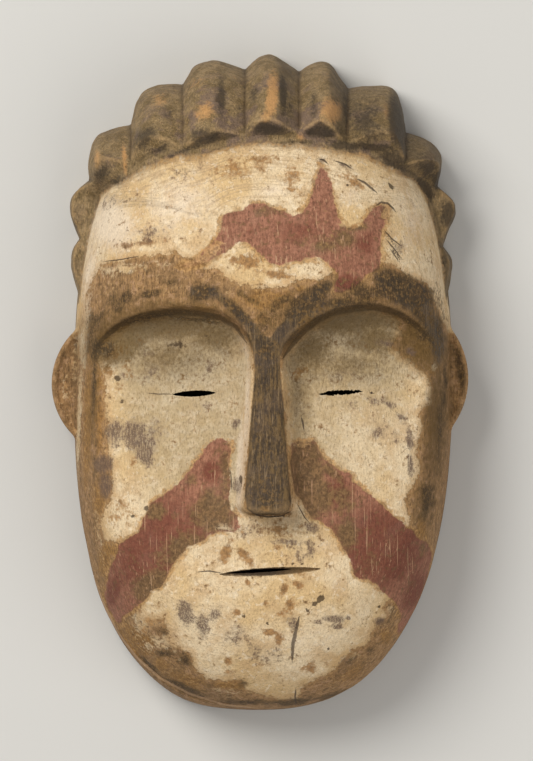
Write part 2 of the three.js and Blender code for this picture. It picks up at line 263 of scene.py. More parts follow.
BROWN_SPOTS = [
    (226, 554, 6, 10, 10, 0.95), (243, 553, 9, 6, 40, 0.95), (250, 561, 5, 5, 0, 0.7),
    (248, 582, 3, 4.5, -30, 0.9), (237, 611, 4.5, 3, 25, 0.9), (285, 588, 3, 8, 25, 0.8),
    (298, 583, 7, 5, 30, 0.95), (291, 603, 6, 9, 10, 0.9), (266, 602, 3, 5, 20, 0.8),
    (281, 613, 8, 4, -20, 0.9), (270, 631, 8, 4, 0, 1), (279, 637, 5, 6, 0, 0.8), (228, 660, 4, 5, 0, 0.9),
    (228, 672, 8, 5, 0, 0.4), (310, 667, 9, 7, 0, 0.7), (325, 663, 6, 4, 0, 0.5),
    (236, 170, 28, 10, 0, 0.6), (292, 176, 12, 10, 0, 0.6), (290, 191, 13, 3, 0, 0.6),
    (257, 160, 24, 6, 0, 0.4), (172, 203, 6, 10, 0, 0.5), (352, 183, 15, 5, 30, 0.7),
    (308, 168, 8, 7, 0, 0.5), (300, 197, 6, 4, 0, 0.6), (150, 222, 12, 6, 0, 0.3),
    (247, 263, 18, 9, 10, 0.85), (277, 276, 22, 5, 10, 0.7), (150, 243, 40, 5, -5, 0.45),
    (222, 508, 6, 5, 0, 0.4), (278, 529, 16, 7, 0, 0.45), (278, 545, 8, 5, 0, 0.3),
    (300, 574, 12, 4, 0, 0.5), (232, 540, 6, 5, 0, 0.3), (150, 625, 12, 12, 0, 0.5),
    (156, 607, 8, 5, 0, 0.35), (110, 372, 10, 7, 0, 0.6), (100, 420, 6, 45, 0, 0.5),
    (133, 460, 5, 9, 0, 0.35), (372, 188, 5, 4, 45, 0.5), (262, 664, 10, 4, 0, 0.25),
    (355, 228, 13, 5, -5, 0.6), (425, 300, 6, 14, -25, 0.4), (305, 370, 8, 5, -40, 0.6),
    (210, 245, 18, 8, -20, 0.5), (120, 512, 18, 14, 0, 0.45), (280, 530, 30, 12, 0, 0.4),
    (128, 368, 14, 10, 0, 0.5), (300, 372, 10, 6, -40, 0.6), (118, 350, 24, 8, -20, 0.5),
    (116, 388, 8, 8, 0, 0.4),
]
OCHRE_SPOTS = [
    (105, 558, 7, 22, 10, 1), (113, 550, 8, 8, 0, 0.9), (100, 500, 8, 26, 0, 0.8), (99, 420, 6, 40, 0, 0.7),
    (265, 300, 32, 12, 0, 1), (262, 320, 16, 10, 0, 0.6), (421, 530, 6, 14, 0, 1),
    (146, 640, 12, 8, 10, 0.9), (160, 665, 12, 10, 40, 0.7), (230, 684, 22, 6, 0, 0.9),
    (385, 636, 10, 10, 0, 0.7), (352, 672, 26, 12, -30, 0.5), (100, 380, 6, 20, 0, 0.6),
    (265, 350, 8, 3, 0, 1), (268, 508, 9, 3.5, 0, 1), (88, 420, 5, 80, 2, 0.8), (205, 308, 24, 6, 5, 0.5),
    (412, 470, 8, 30, 0, 0.5), (300, 290, 10, 6, -30, 0.6), (430, 430, 8, 30, 0, 0.4),
    (370, 300, 34, 5, 0, 0.5), (433, 370, 6, 8, 0, 0.7), (85, 270, 5, 30, 5, 0.4),
    (135, 642, 16, 26, -35, 0.9), (185, 680, 30, 10, 18, 0.7), (118, 600, 6, 30, -8, 0.6),
    (455, 395, 6, 30, 0, 0.3),
]
WORN_RED = [
    (214, 512, 24, 24, 0, 1), (226, 470, 8, 26, 0, 0.7), (305, 466, 20, 30, 0, 1.2),
    (312, 498, 22, 26, 20, 1.1), (346, 534, 12, 16, 0, 1), (182, 548, 30, 16, -25, 0.9),
    (150, 584, 24, 14, -30, 1), (156, 511, 11, 9, 0, 1), (345, 240, 13, 10, 0, 0.8),
    (385, 212, 5, 9, 0, 0.8), (355, 227, 14, 6, 0, 1), (262, 212, 24, 6, 0, 0.5),
    (325, 245, 32, 14, 0, 0.5), (355, 275, 14, 9, 0, 0.3), (422, 548, 6, 10, 0, 0.6),
    (192, 480, 10, 8, -40, 0.5), (375, 560, 12, 14, 0, 0.35), (330, 470, 14, 8, 30, 0.7),
    (230, 250, 12, 10, 0, 0.4), (342, 497, 16, 20, -20, 0.6), (308, 452, 18, 14, 0, 0.9),
]
DEEP_RED = [
    (212, 472, 12, 14, 0, 0.9), (168, 525, 14, 14, 0, 0.7), (135, 552, 16, 12, 0, 0.8),
    (114, 590, 8, 24, 15, 1), (300, 232, 40, 14, 0, 0.6), (365, 245, 14, 16, 0, 0.8),
    (348, 283, 16, 9, 0, 1.3), (345, 500, 10, 9, 0, 0.7), (368, 525, 16, 9, 0, 0.9),
    (395, 570, 22, 18, 0, 0.8), (415, 590, 12, 26, 20, 1), (338, 492, 20, 22, 0, 0.9),
    (335, 474, 14, 6, 20, 0.7), (250, 232, 16, 8, 0, 0.4), (190, 262, 14, 4, -15, 0.4),
    (380, 545, 60, 50, 0, 1), (160, 545, 80, 70, 0, 0.85),
]
DARK_BROWN_SPOTS = [
    (122, 300, 22, 11, -25, 0.7), (150, 294, 16, 5, -12, 0.7), (171, 283, 11, 5, 0, 0.6),
    (97, 322, 9, 22, 20, 0.7), (118, 306, 14, 10, -30, 0.6), (95, 375, 3, 46, 3, 0.7),
    (96, 450, 3, 30, 5, 0.4), (170, 653, 17, 5, 0, 0.8), (185, 660, 9, 8, 0, 0.75),
    (132, 625, 6, 7, 0, 0.3), (165, 631, 6, 4, 0, 0.6), (148, 664, 4, 16, -45, 1),
    (185, 688, 5, 30, -65, 0.9), (245, 702, 40, 3.5, 0, 0.8), (290, 703, 20, 4, 0, 1),
    (330, 696, 20, 4, -20, 0.8), (427, 500, 8, 28, 5, 0.8), (440, 420, 5, 60, 3, 0.6),
    (243, 682, 8, 7, 0, 0.6), (350, 662, 10, 8, -30, 0.4), (370, 650, 7, 6, 0, 0.6),
    (438, 330, 9, 34, -10, 0.6), (423, 336, 13, 10, 20, 0.6), (97, 345, 10, 8, 0, 0.9),
    (445, 385, 3, 24, 0, 0.8), (308, 300, 30, 11, -38, 1.3), (404, 290, 34, 16, 24, 1.35),
    (240, 314, 26, 7, 42, 0.9), (267, 346, 13, 14, 0, 0.75), (203, 293, 18, 9, 0, 1),
    (350, 303, 34, 6, 0, 1), (372, 292, 56, 14, 0, 0.75), (268, 494, 22, 18, 0, 0.6),
    (246, 296, 12, 5, 30, 0.75), (262, 326, 12, 8, 0, 0.7), (426, 332, 14, 12, 20, 0.6),
    (150, 318, 50, 6, -5, 0.6), (200, 320, 36, 5, 5, 0.6), (440, 300, 5, 24, -15, 0.5),
    (300, 700, 30, 3, -5, 0.7), (62, 358, 4, 16, 12, 0.5), (461, 370, 6, 30, -8, 0.9),
    (105, 350, 20, 9, -25, 0.7), (266, 320, 18, 9, 0, 0.55), (285, 300, 12, 6, -20, 0.75),
    (250, 300, 12, 6, 20, 0.65), (275, 306, 10, 12, -20, 0.6), (140, 275, 30, 5, -10, 0.25),
    (415, 315, 22, 16, 20, 0.5), (292, 338, 14, 6, -45, 0.5),
]
HAIR_ORANGE = [
    (205, 113, 12, 10, 0, 0.7), (272, 97, 6.5, 25, 6, 1.1), (267, 117, 6, 7, 15, 0.9),
    (331, 112, 11, 14, 0, 0.9), (98, 160, 4, 9, 0, 0.8), (386, 112, 4, 10, 0, 0.5),
    (300, 138, 6, 6, 0, 0.6), (160, 100, 12, 8, 0, 0.4), (125, 160, 2.5, 18, -5, 0.9),
    (430, 158, 8, 10, 0, 0.35), (196, 85, 10, 8, 0, 0.35),
]
# Dark hair patches, partly dark patina and partly painted shade on the low facets and on facets turned away
# from the light.
HAIR_DARK_AND_SHADE = [
    (145, 138, 20, 12, -50, 0.75), (160, 150, 16, 8, -35, 0.55), (102, 174, 16, 10, -50, 0.65),
    (116, 182, 13, 8, -42, 0.6), (205, 137, 18, 9, 0, 0.9), (221, 98, 6, 28, 0, 0.75),
    (268, 130, 20, 7, 0, 1), (322, 133, 20, 7, 0, 1), (395, 122, 9, 26, -8, 1), (376, 148, 28, 5, 5, 1),
    (438, 180, 9, 13, 10, 1), (424, 186, 10, 9, 0, 0.8), (449, 210, 7, 11, 0, 1), (76, 225, 7, 12, 0, 0.5),
    (254, 95, 8, 26, 8, 0.5), (313, 105, 6, 20, 0, 0.55), (283, 94, 5, 28, -3, 0.9),
    (345, 105, 5, 26, 0, 0.6), (395, 165, 16, 7, 20, 0.9), (364, 122, 30, 42, 0, 0.62),
    (397, 125, 12, 38, -8, 1), (428, 168, 16, 24, -15, 0.75), (447, 214, 10, 17, 0, 0.8),
    (345, 146, 24, 6, 5, 0.9), (394, 160, 18, 9, 28, 1), (424, 190, 11, 15, -40, 1),
    (300, 143, 26, 4, 0, 0.6), (182, 152, 30, 5, -18, 0.6), (120, 185, 14, 8, -40, 0.7),
    (347, 112, 6, 34, 0, 0.6), (443, 262, 8, 14, 0, 0.5), (290, 110, 6, 24, 0, 0.5),
    (240, 110, 8, 20, 0, 0.4), (110, 130, 12, 8, 0, 0.35), (170, 115, 9, 14, 0, 0.5),
    (185, 82, 6, 8, 0, 0.3), (443, 268, 5, 10, 0, 0.5), (414, 150, 9, 10, 0, 0.3),
]
PALE_SPOTS = [
    (84, 325, 8, 70, 3, 0.75), (88, 270, 8, 40, 5, 0.7), (120, 270, 34, 10, -5, 0.6),
    (165, 264, 20, 7, 0, 0.4), (212, 266, 14, 5, -10, 0.6), (230, 274, 10, 7, 0, 0.8),
    (262, 287, 26, 3, 0, 0.8), (306, 273, 17, 9, -10, 0.8), (278, 283, 20, 3, 0, 0.7),
    (250, 262, 12, 5, 0, 0.4), (360, 186, 12, 10, 0, 0.3), (175, 651, 3, 3, 0, 1), (180, 659, 2.4, 2, 0, 1),
    (145, 622, 18, 16, 0, 0.75), (150, 645, 14, 10, 30, 0.5), (220, 690, 30, 6, 10, 0.45),
    (126, 655, 3.5, 60, -38, 0.5), (430, 392, 4, 16, 0, 0.5), (434, 367, 4, 6, 0, 0.7),
    (79, 420, 3.5, 90, 2, 0.7), (64, 388, 6, 30, 0, 0.42), (100, 540, 4, 40, -6, 0.5),
    (110, 520, 8, 20, 0, 0.6), (440, 260, 5, 30, -8, 0.5), (355, 655, 20, 8, -30, 0.4),
    (390, 608, 8, 8, 0, 0.5), (162, 641, 22, 12, 20, 0.65), (75, 365, 4, 36, 0, 0.5),
    (282, 425, 4, 60, 0, 0.4), (450, 330, 5, 30, -10, 0.3),
]
# Pale chalky clay, and painted highlight on the nose's left flank and the left edge, which face the light.
CHALK_AND_HIGHLIGHT_SPOTS = [
    (241, 468, 5, 54, 2, 1), (247, 420, 3.5, 70, 2, 0.9), (180, 208, 48, 32, -15, 0.6),
    (112, 225, 28, 32, -40, 0.9), (90, 285, 8, 44, 4, 0.8), (350, 200, 12, 14, 0, 0.5),
    (275, 192, 22, 8, 0, 0.5), (245, 345, 5, 30, -18, 0.5), (300, 640, 26, 18, 0, 0.35),
    (380, 585, 12, 14, 0, 0.4), (325, 545, 16, 10, 0, 0.35), (412, 225, 26, 44, 0, 0.42),
    (150, 262, 40, 5, -5, 0.4),
]
FAINT_RED = [
    (188, 265, 24, 8, -18, 1), (214, 251, 15, 9, -35, 0.8), (322, 166, 7, 12, 0, 0.5),
    (386, 214, 6, 12, 0, 0.6), (352, 226, 16, 4, 0, 0.7), (232, 440, 8, 12, 0, 0.5),
    (300, 444, 12, 6, 0, 0.5), (225, 528, 14, 8, 0, 0.4), (342, 286, 10, 8, 0, 0.3),
    (326, 232, 16, 20, 0, 0.25),
]
# Painted shade with dirt in it: darker under the brows, where the brows shade the sockets, and down the
# right side, which faces away from the light.
SHADE_AND_DIRT_SPOTS = [
    (160, 324, 84, 24, -3, 1), (118, 342, 38, 26, -25, 1.25), (212, 336, 40, 26, 15, 0.8),
    (168, 356, 80, 34, 0, 0.6), (350, 322, 84, 22, 0, 0.9), (312, 350, 34, 42, 10, 0.72),
    (372, 340, 44, 26, 0, 0.8), (420, 340, 30, 36, -10, 1), (300, 392, 16, 60, 0, 0.48),
    (350, 364, 60, 26, 0, 0.6), (436, 420, 16, 90, 4, 0.7), (94, 400, 8, 60, 2, 0.5),
    (284, 330, 12, 40, 20, 0.6), (240, 345, 8, 30, -20, 0.3), (285, 530, 34, 16, 0, 0.3),
    (425, 500, 14, 40, 0, 0.5),
]

# Thin dark lines, cracks and a painted shadow line under the nose: the points that each runs through and its
# half width, all in the picture's pixels.
CRACKS_AND_SHADOW_LINE = [
    ([(299, 616), (296, 630), (293, 642), (292, 660)], 1.8), ([(296, 688), (295, 696), (296, 704)], 0.8),
    ([(376, 206), (381, 203), (387, 204), (392, 208), (395, 212)], 1.1),
    ([(357, 180), (364, 183), (370, 188), (376, 193)], 1.2), ([(301, 416), (303, 424), (304, 430)], 0.8),
    ([(148, 393), (158, 394), (174, 394)], 0.4), ([(198, 571), (210, 570), (221, 572)], 0.6),
    ([(370, 393), (373, 393)], 0.9), ([(297, 503), (304, 516), (309, 522)], 0.5),
    ([(384, 231), (391, 239), (400, 246)], 0.7), ([(386, 240), (394, 250), (401, 259)], 0.7),
    ([(318, 160), (324, 161), (328, 165)], 0.9), ([(104, 262), (122, 260), (138, 257)], 0.5),
    ([(335, 162), (345, 165), (352, 170)], 0.8), ([(390, 250), (395, 257), (398, 262)], 0.6),
    # The last line is a painted shadow along the underside of the nose.
    ([(231, 470), (232, 490)], 0.5), ([(248, 508), (256, 514), (268, 516), (282, 515), (291, 510)], 0.8),
]

# Painted shadow right under the brows: dark lines along the brow rims, where the rims shade the sockets.
BROW_SHADES = [
    ([(90, 359), (101, 341), (117, 327), (137, 318), (157, 314), (175, 312), (200, 314), (220, 318),
      (236, 327), (246, 342)], 3.6),
    ([(283, 358), (290, 348), (301, 334), (316, 321), (331, 313), (353, 309), (374, 307), (398, 313),
      (418, 328), (432, 343)], 4.2),
]

# Pale scratches through the red, and a painted highlight on the lip that the adze left along the jaw.
SCRATCHES_AND_LIP_HIGHLIGHT = [
    ([(352, 481), (352, 514)], 0.35), ([(371, 557), (372, 576)], 0.35), ([(376, 560), (376, 572)], 0.3),
    ([(385, 541), (385, 558)], 0.3), ([(389, 536), (390, 556)], 0.35), ([(397, 533), (397, 566)], 0.35),
    ([(407, 545), (408, 578)], 0.3), ([(412, 554), (412, 574)], 0.3), ([(364, 505), (364, 526)], 0.3),
    ([(316, 212), (316, 226)], 0.4), ([(277, 224), (278, 238)], 0.35), ([(276, 256), (277, 264)], 0.6),
    ([(281, 258), (281, 266)], 0.5), ([(286, 257), (287, 265)], 0.6), ([(172, 529), (172, 539)], 0.35),
    ([(152, 574), (152, 588)], 0.35), ([(196, 502), (196, 517)], 0.3), ([(215, 471), (215, 484)], 0.35),
    ([(93, 575), (104, 605), (118, 634), (138, 659), (160, 678), (190, 694), (225, 705), (262, 709)], 1.3),
]

# What the paint reads from the mesh by name. The first ones show on faces that look forward alone.
FRONT_SPOTS = dict(grey_wear=GREY_WEAR, dark_spot=DARK_SPOTS, brown_spot=BROWN_SPOTS)
SPOTS = dict(
    ochre_spot=OCHRE_SPOTS, worn_red=WORN_RED, deep_red=DEEP_RED, dark_brown=DARK_BROWN_SPOTS,
    hair_orange=HAIR_ORANGE, hair_dark_and_shade=HAIR_DARK_AND_SHADE, pale_spot=PALE_SPOTS, faint_red=FAINT_RED,
    chalk_and_highlight=CHALK_AND_HIGHLIGHT_SPOTS,
)
LINES = dict(crack_and_shadow_line=CRACKS_AND_SHADOW_LINE, scratch=SCRATCHES_AND_LIP_HIGHLIGHT, brow_shade=BROW_SHADES)
SPOT_REACH = 1.35  # in a spot's half widths, where it has faded out
FAR_ACROSS = 30  # in a line's half widths, the value given beside its ends
SWEEP_RADIUS = 45  # millimetres, at which degrees round the hair are turned into a length

# The mesh: the grid that the field is worked out on, and where fewer triangles do.
GRID_STEP = 0.62
GRID_LOW = [-59.0, -92.0, -1.5]
GRID_REACH = [118, 184, 65.5]
RELIEF_ROUNDS = 16
MOST_TRIANGLES = 190000
PLAIN = dict(from_hollow=0.8, steep=0.4, side_height=42, rim_height=12)
SHARP_ANGLE = 50
LIT_PLACE = (0, 0, 0.03)


def smooth_max(a, b, radius):
    """The larger of two distances, with the edge between them rounded off."""
    blend = np.maximum(radius - np.abs(a - b), 0) / radius
    return np.maximum(a, b) + blend * blend * radius / 4


def smooth_min(a, b, radius):
    return -smooth_max(-a, -b, radius)


def smooth_step(low, high, value):
    t = np.clip((value - low) / (high - low), 0, 1)
    return t * t * (3 - 2 * t)


def lattice_noise(points, size, seed):
    """Smooth noise from -1 to 1 whose bumps are about size apart; size may differ by axis."""
    cells = 32
    values = np.random.default_rng(seed).uniform(-1, 1, (cells, cells, cells))
    place = points / np.asarray(size, float) + 7.3
    corner = np.floor(place).astype(int)
    part = place - corner
    part = part * part * (3 - 2 * part)
    total = np.zeros(len(points))
    for dx in (0, 1):
        for dy in (0, 1):
            for dz in (0, 1):
                weight = (
                    np.abs(1 - dx - part[:, 0]) * np.abs(1 - dy - part[:, 1]) * np.abs(1 - dz - part[:, 2])
                )
                at = (corner + (dx, dy, dz)) % cells
                total += weight * values[at[:, 0], at[:, 1], at[:, 2]]
    return total


def uneven(points, waves):
    return sum(amount * lattice_noise(points, size, seed) for amount, size, seed in waves)


def middle_x(y):
    return MIDDLE_X - CHIN_DRIFT * np.minimum(0, y) ** 2


def plan_radius(form, x, y):
    """How far out a point of the plan is: 0 in the middle of the oval, 1 on its edge."""
    across = np.abs(x - middle_x(y)) / form["half_width"]
    along = np.abs(y) / np.where(y > 0, form["crown"], form["chin"])
    power = form["plan_power"]
    return (across**power + along**power) ** (1 / power)


def front_height(form, radius):
    power = form["front_power"]
    return form["depth"] * np.maximum(0, 1 - radius**power) ** (1 / power)


def rounded_box(form, p):
    """Distance to a rounded box near its surface, and the direction straight out of it."""
    m, n = form["plan_power"], form["front_power"]
    x, y, z = p[:, 0] - middle_x(p[:, 1]), p[:, 1], p[:, 2]
    reach = np.where(y > 0, form["crown"], form["chin"])
    across, along = np.abs(x) / form["half_width"], np.abs(y) / reach
    up = np.abs(z) / form["depth"]
    radius = np.maximum((across**m + along**m) ** (1 / m), 1e-6)
    size = np.maximum((radius**n + up**n) ** (1 / n), 0.2)
    out = np.empty_like(p)
    out[:, 0] = radius ** (n - m) * across ** (m - 1) * np.sign(x) / form["half_width"]
    out[:, 1] = radius ** (n - m) * along ** (m - 1) * np.sign(y) / reach
    out[:, 1] += out[:, 0] * 2 * CHIN_DRIFT * np.minimum(0, y)
    out[:, 2] = up ** (n - 1) * np.sign(z) / form["depth"]
    out *= (size ** (1 - n))[:, None]
    steep = np.maximum(np.linalg.norm(out, axis=1), 1e-9)
    return (size - 1) / steep, out / steep[:, None]


def foot_on(form, p):
    """The nearest point of the rounded box, the distance to it and the direction out of it there."""
    first, out = rounded_box(form, p)
    foot = p - out * first[:, None]
    second, out = rounded_box(form, foot)
    foot = foot - out * second[:, None]
    return foot, first + second, out


def hair_profiles():
    """Height over the oval, width of the band and slope of the bevel, by tenths of a degree. Each tuft is
    softened by itself, so its crest is round and the valleys beside it stay sharp."""
    degrees = np.arange(-HAIR_REACH - 10, HAIR_REACH + 10.05, DEGREE_STEP)
    outline = np.array(HAIR_OUTLINE)
    rises = outline[:, 1]
    low = [i for i in range(1, len(rises) - 1) if rises[i] <= min(rises[i - 1], rises[i + 1])]
    ends = [0] + low + [len(outline) - 1]
    spread = np.arange(-40, 41) * DEGREE_STEP
    kernel = np.exp(-0.5 * (spread / TUFT_SOFTNESS) ** 2)
    height = np.zeros(len(degrees))
    for first, last in zip(ends, ends[1:]):
        at, up = outline[first:last + 1].T
        before, after = (up[1] - up[0]) / (at[1] - at[0]), (up[-1] - up[-2]) / (at[-1] - at[-2])
        tuft = np.interp(degrees, at, up)
        tuft = np.where(degrees < at[0], up[0] + before * (degrees - at[0]), tuft)
        tuft = np.where(degrees > at[-1], up[-1] + after * (degrees - at[-1]), tuft)
        height = np.maximum(height, np.convolve(tuft, kernel / kernel.sum(), mode="same"))
    height[np.abs(degrees) > HAIR_REACH] = 0
    band = np.interp(degrees, TUFT_CRESTS, TUFT_BANDS)
    bevel = np.interp(degrees, TUFT_CRESTS, TUFT_BEVELS)
    return degrees, height, band, bevel


HAIR_DEGREES, HAIR_HEIGHTS, HAIR_BANDS, HAIR_BEVELS = hair_profiles()


def hair_place(foot, out):
    """For points of the oval: degrees round the hair centre where their tuft line meets the outline, and
    the way back from the hairline in millimetres, negative on the face."""
    power = HEAD["plan_power"]
    x, y, z = foot.T
    across = np.minimum(1, np.abs(x - MIDDLE_X) / HEAD["half_width"])
    along = np.minimum(1, np.abs(y) / HEAD["crown"])
    top = HEAD["crown"] * (1 - across**power) ** (1 / power)
    side = MIDDLE_X + np.sign(x - MIDDLE_X) * HEAD["half_width"] * (1 - along**power) ** (1 / power)
    upright = np.degrees(np.arctan2(x - HAIR_CENTRE[0], top - HAIR_CENTRE[1]))
    level = np.degrees(np.arctan2(side - HAIR_CENTRE[0], y - HAIR_CENTRE[1]))
    straight = np.degrees(np.arctan2(x - HAIR_CENTRE[0], y - HAIR_CENTRE[1]))
    temple = smooth_step(*TEMPLE_TURN, np.abs(straight))
    degrees = upright + (level - upright) * temple
    share = np.minimum(1, np.abs(x - HAIR_CENTRE[0]) / HAIRLINE_HALF_WIDTH)
    line_y = HAIR_CENTRE[1] + HAIRLINE_HEIGHT * np.sqrt(1 - share**2)
    for sway_x, width, amount in HAIRLINE_SWAYS:
        line_y = line_y + amount * np.exp(-(((x - sway_x) / width) ** 2))
    line_radius = np.minimum(TEMPLE_RADIUS, plan_radius(HEAD, x, line_y))
    left = smooth_step(*LEFT_TEMPLE, -straight)
    right = smooth_step(*RIGHT_TEMPLE, straight)
    line_radius = line_radius + (TEMPLE_RADIUS - line_radius) * np.maximum(left, right)
    slope = np.maximum(0.3, np.hypot(out[:, 0], out[:, 1]))
    back = (front_height(HEAD, line_radius) - z) / slope
    return np.where(y > HAIR_LOWEST, degrees, 180), back


def hair_height(p, foot, out):
    degrees, back = hair_place(foot, out)
    crest = np.interp(degrees, HAIR_DEGREES, HAIR_HEIGHTS, left=0, right=0)
    band = np.interp(degrees, HAIR_DEGREES, HAIR_BANDS)
    band = band + uneven(p, BAND_WAVES)
    slope = np.interp(degrees, HAIR_DEGREES, HAIR_BEVELS)
    rough = uneven(p, HAIR_WAVES)
    low = np.minimum(BAND_HEIGHT, crest) * smooth_step(-0.25, BAND_STEP, back)
    bevel = low + np.maximum(0, back - band) * slope
    height = np.where(crest > low, smooth_min(crest, bevel, 0.5), low)
    grown = smooth_step(0, 1.5, back) * smooth_step(0, 1, crest)
    return np.maximum(0, height) + rough * grown


def brow_distance(brow, x, y):
    """Distance in plan to the arch under a brow, negative below it."""
    power, width = brow["power"], np.where(x < brow["x"], brow["left"], brow["right"])
    across = np.abs(x - brow["x"]) / width
    up = (y - (brow["y"] - brow["fall"])) / brow["fall"]
    high = np.maximum(up, 0)
    size = np.maximum((across**power + high**power) ** (1 / power), 0.2)
    fall_off = size ** (1 - power)
    slope_x = fall_off * across ** (power - 1) / width
    slope_y = fall_off * high ** (power - 1) / brow["fall"]
    return (size - 1) / np.maximum(np.hypot(slope_x, slope_y), 1e-6)


def face_void(p):
    """Distance to what is carved away under the brows, negative in the void."""
    x, y, z = p.T
    leaning = y - BROW_LEAN * (z - BROW_RIM)
    left, right = brow_distance(LEFT_BROW, x, leaning), brow_distance(RIGHT_BROW, x, leaning)
    left_base, right_base = (brow["y"] - brow["fall"] for brow in (LEFT_BROW, RIGHT_BROW))
    below = leaning - (left_base + (right_base - left_base) * smooth_step(*BROWS_MEET, x))
    left_side, right_side = LEFT_BROW["x"] + LEFT_BROW["right"], RIGHT_BROW["x"] - RIGHT_BROW["left"]
    ridge = (right_side - left_side) / 2 - np.abs(x - (left_side + right_side) / 2)
    below = np.where(y > NOSE["tip_y"] + RIDGE_OVER_TIP, np.maximum(below, ridge), below)
    wall = np.minimum(np.minimum(left, right), below) / math.hypot(1, BROW_LEAN)
    down = np.maximum(0, (CHEEK["brow_y"] - y) / (CHEEK["brow_y"] - CHEEK["mouth_y"]))
    floor = CHEEK["under_brow"] + (CHEEK["at_mouth"] - CHEEK["under_brow"]) * down
    floor = floor - CHEEK["side_fall"] * (x - middle_x(y)) ** 2
    return smooth_max(wall, floor - z, CHEEK["fillet"])


def nose_distance(p):
    x, y, z = p.T
    fall, rise = NOSE["bridge_y"] - NOSE["tip_y"], NOSE["tip_z"] - NOSE["bridge_z"]
    down = (NOSE["bridge_y"] - y) / fall
    front = NOSE["bridge_z"] + rise * down
    half = NOSE["bridge"] + (NOSE["tip"] - NOSE["bridge"]) * np.clip(down, 0, 1) ** NOSE["widening"]
    face = (z - front) / math.hypot(1, rise / fall)
    sides = (np.abs(x - NOSE["x"]) - half - NOSE["flank"] * (front - z)) / math.hypot(1, NOSE["flank"])
    under = NOSE["tip_y"] + NOSE["undercut"] * (front - z) - y
    body = smooth_max(smooth_max(sides, under, NOSE["side_round"]), face, NOSE["front_round"])
    return smooth_max(body, y - NOSE["bridge_y"], NOSE["bridge_round"])


def ear_distance(ear, p):
    x, y, z = p.T
    radius = (ear["chord"] ** 2 + ear["sagitta"] ** 2) / (2 * ear["sagitta"])
    disc = np.hypot(x - ear["side"] * (ear["reach"] - radius), y - ear["y"]) - radius
    slab = np.maximum(EAR_BACK - z, z - EAR_FRONT)
    dish = smooth_max(disc + EAR_RIM, EAR_FRONT - EAR_DISH - z, EAR_DISH_ROUND)
    return smooth_max(smooth_max(disc, slab, EAR_ROUND), -dish, EAR_ROUND)


def jaw_lip(p):
    """How far the lower left of the jaw stands out at the rim, or in at the groove over it."""
    turn = np.degrees(np.arctan2(MIDDLE_X - p[:, 0], -p[:, 1]))
    lip = smooth_step(*JAW_LIP["lip_start"], turn) * smooth_step(*JAW_LIP["lip_end"], turn)
    groove = smooth_step(*JAW_LIP["groove_start"], turn) * smooth_step(*JAW_LIP["groove_end"], turn)
    height = JAW_LIP["height"]
    below = smooth_step(height + 1, height - 1, p[:, 2])
    across = (p[:, 2] - height - JAW_LIP["groove_width"]) / JAW_LIP["groove_width"]
    return JAW_LIP["rise"] * lip * below - JAW_LIP["groove"] * groove * np.exp(-(across**2))


def outside_distance(p):
    """Distance to the carved outside: head, hair, sunken face, nose and ears."""
    foot, head, out = foot_on(HEAD, p)
    wavy = uneven(p, SURFACE_WAVES)
    solid = head - hair_height(p, foot, out) - jaw_lip(p) + wavy * smooth_step(0, 6, p[:, 2])
    edge = BROW_EDGE + JAW_EDGE_MORE * smooth_step(*EDGE_SOFTENS, p[:, 1])
    solid = smooth_max(solid, -face_void(p) + 0.5 * wavy, edge)
    under_nose = smooth_step(NOSE["tip_y"] + 4, NOSE["tip_y"], p[:, 1])
    fillet = NOSE["fillet"] - NOSE["fillet_less_under"] * under_nose
    solid = smooth_min(solid, nose_distance(p) + 0.5 * wavy, fillet)
    for ear in EARS:
        solid = smooth_min(solid, ear_distance(ear, p), EAR_ROUND)
    return solid


def carving(p):
    """Distance to the whole mask: the outside, less the hollow, above the flat back rim."""
    hollow, _ = rounded_box(HOLLOW, p)
    solid = smooth_max(outside_distance(p), -(hollow + uneven(p, GOUGES)), HOLLOW_EDGE)
    return smooth_max(solid, -p[:, 2], RIM_EDGE)


def grid_values(step):
    """The field on a grid, worked out only near the surface, and the grid's first corner."""
    block = 4
    low = np.array(GRID_LOW)
    counts = [int(math.ceil(v / (step * block))) for v in GRID_REACH]
    coarse_axes = [low[i] + np.arange(counts[i] + 1) * step * block for i in range(3)]
    coarse = np.stack(np.meshgrid(*coarse_axes, indexing="ij"), -1)
    rough = carving(coarse.reshape(-1, 3)).reshape(coarse.shape[:3])
    near = np.abs(rough) < 2.2 * step * block
    wide = near.copy()
    for axis in range(3):
        for shift in (-1, 1):
            wide |= np.roll(near, shift, axis)
    shape = [n * block + 1 for n in counts]
    nearest = [np.minimum(np.arange(n) // block, counts[i]) for i, n in enumerate(shape)]
    fine_near = wide[np.ix_(*nearest)]
    for axis in range(3):
        after = [np.minimum(nearest[i] + (i == axis), counts[i]) for i in range(3)]
        fine_near |= wide[np.ix_(*after)]
    values = rough[np.ix_(*nearest)].astype(np.float32)
    at = np.argwhere(fine_near)
    values[fine_near] = carving(low + at * step)
    return values, low


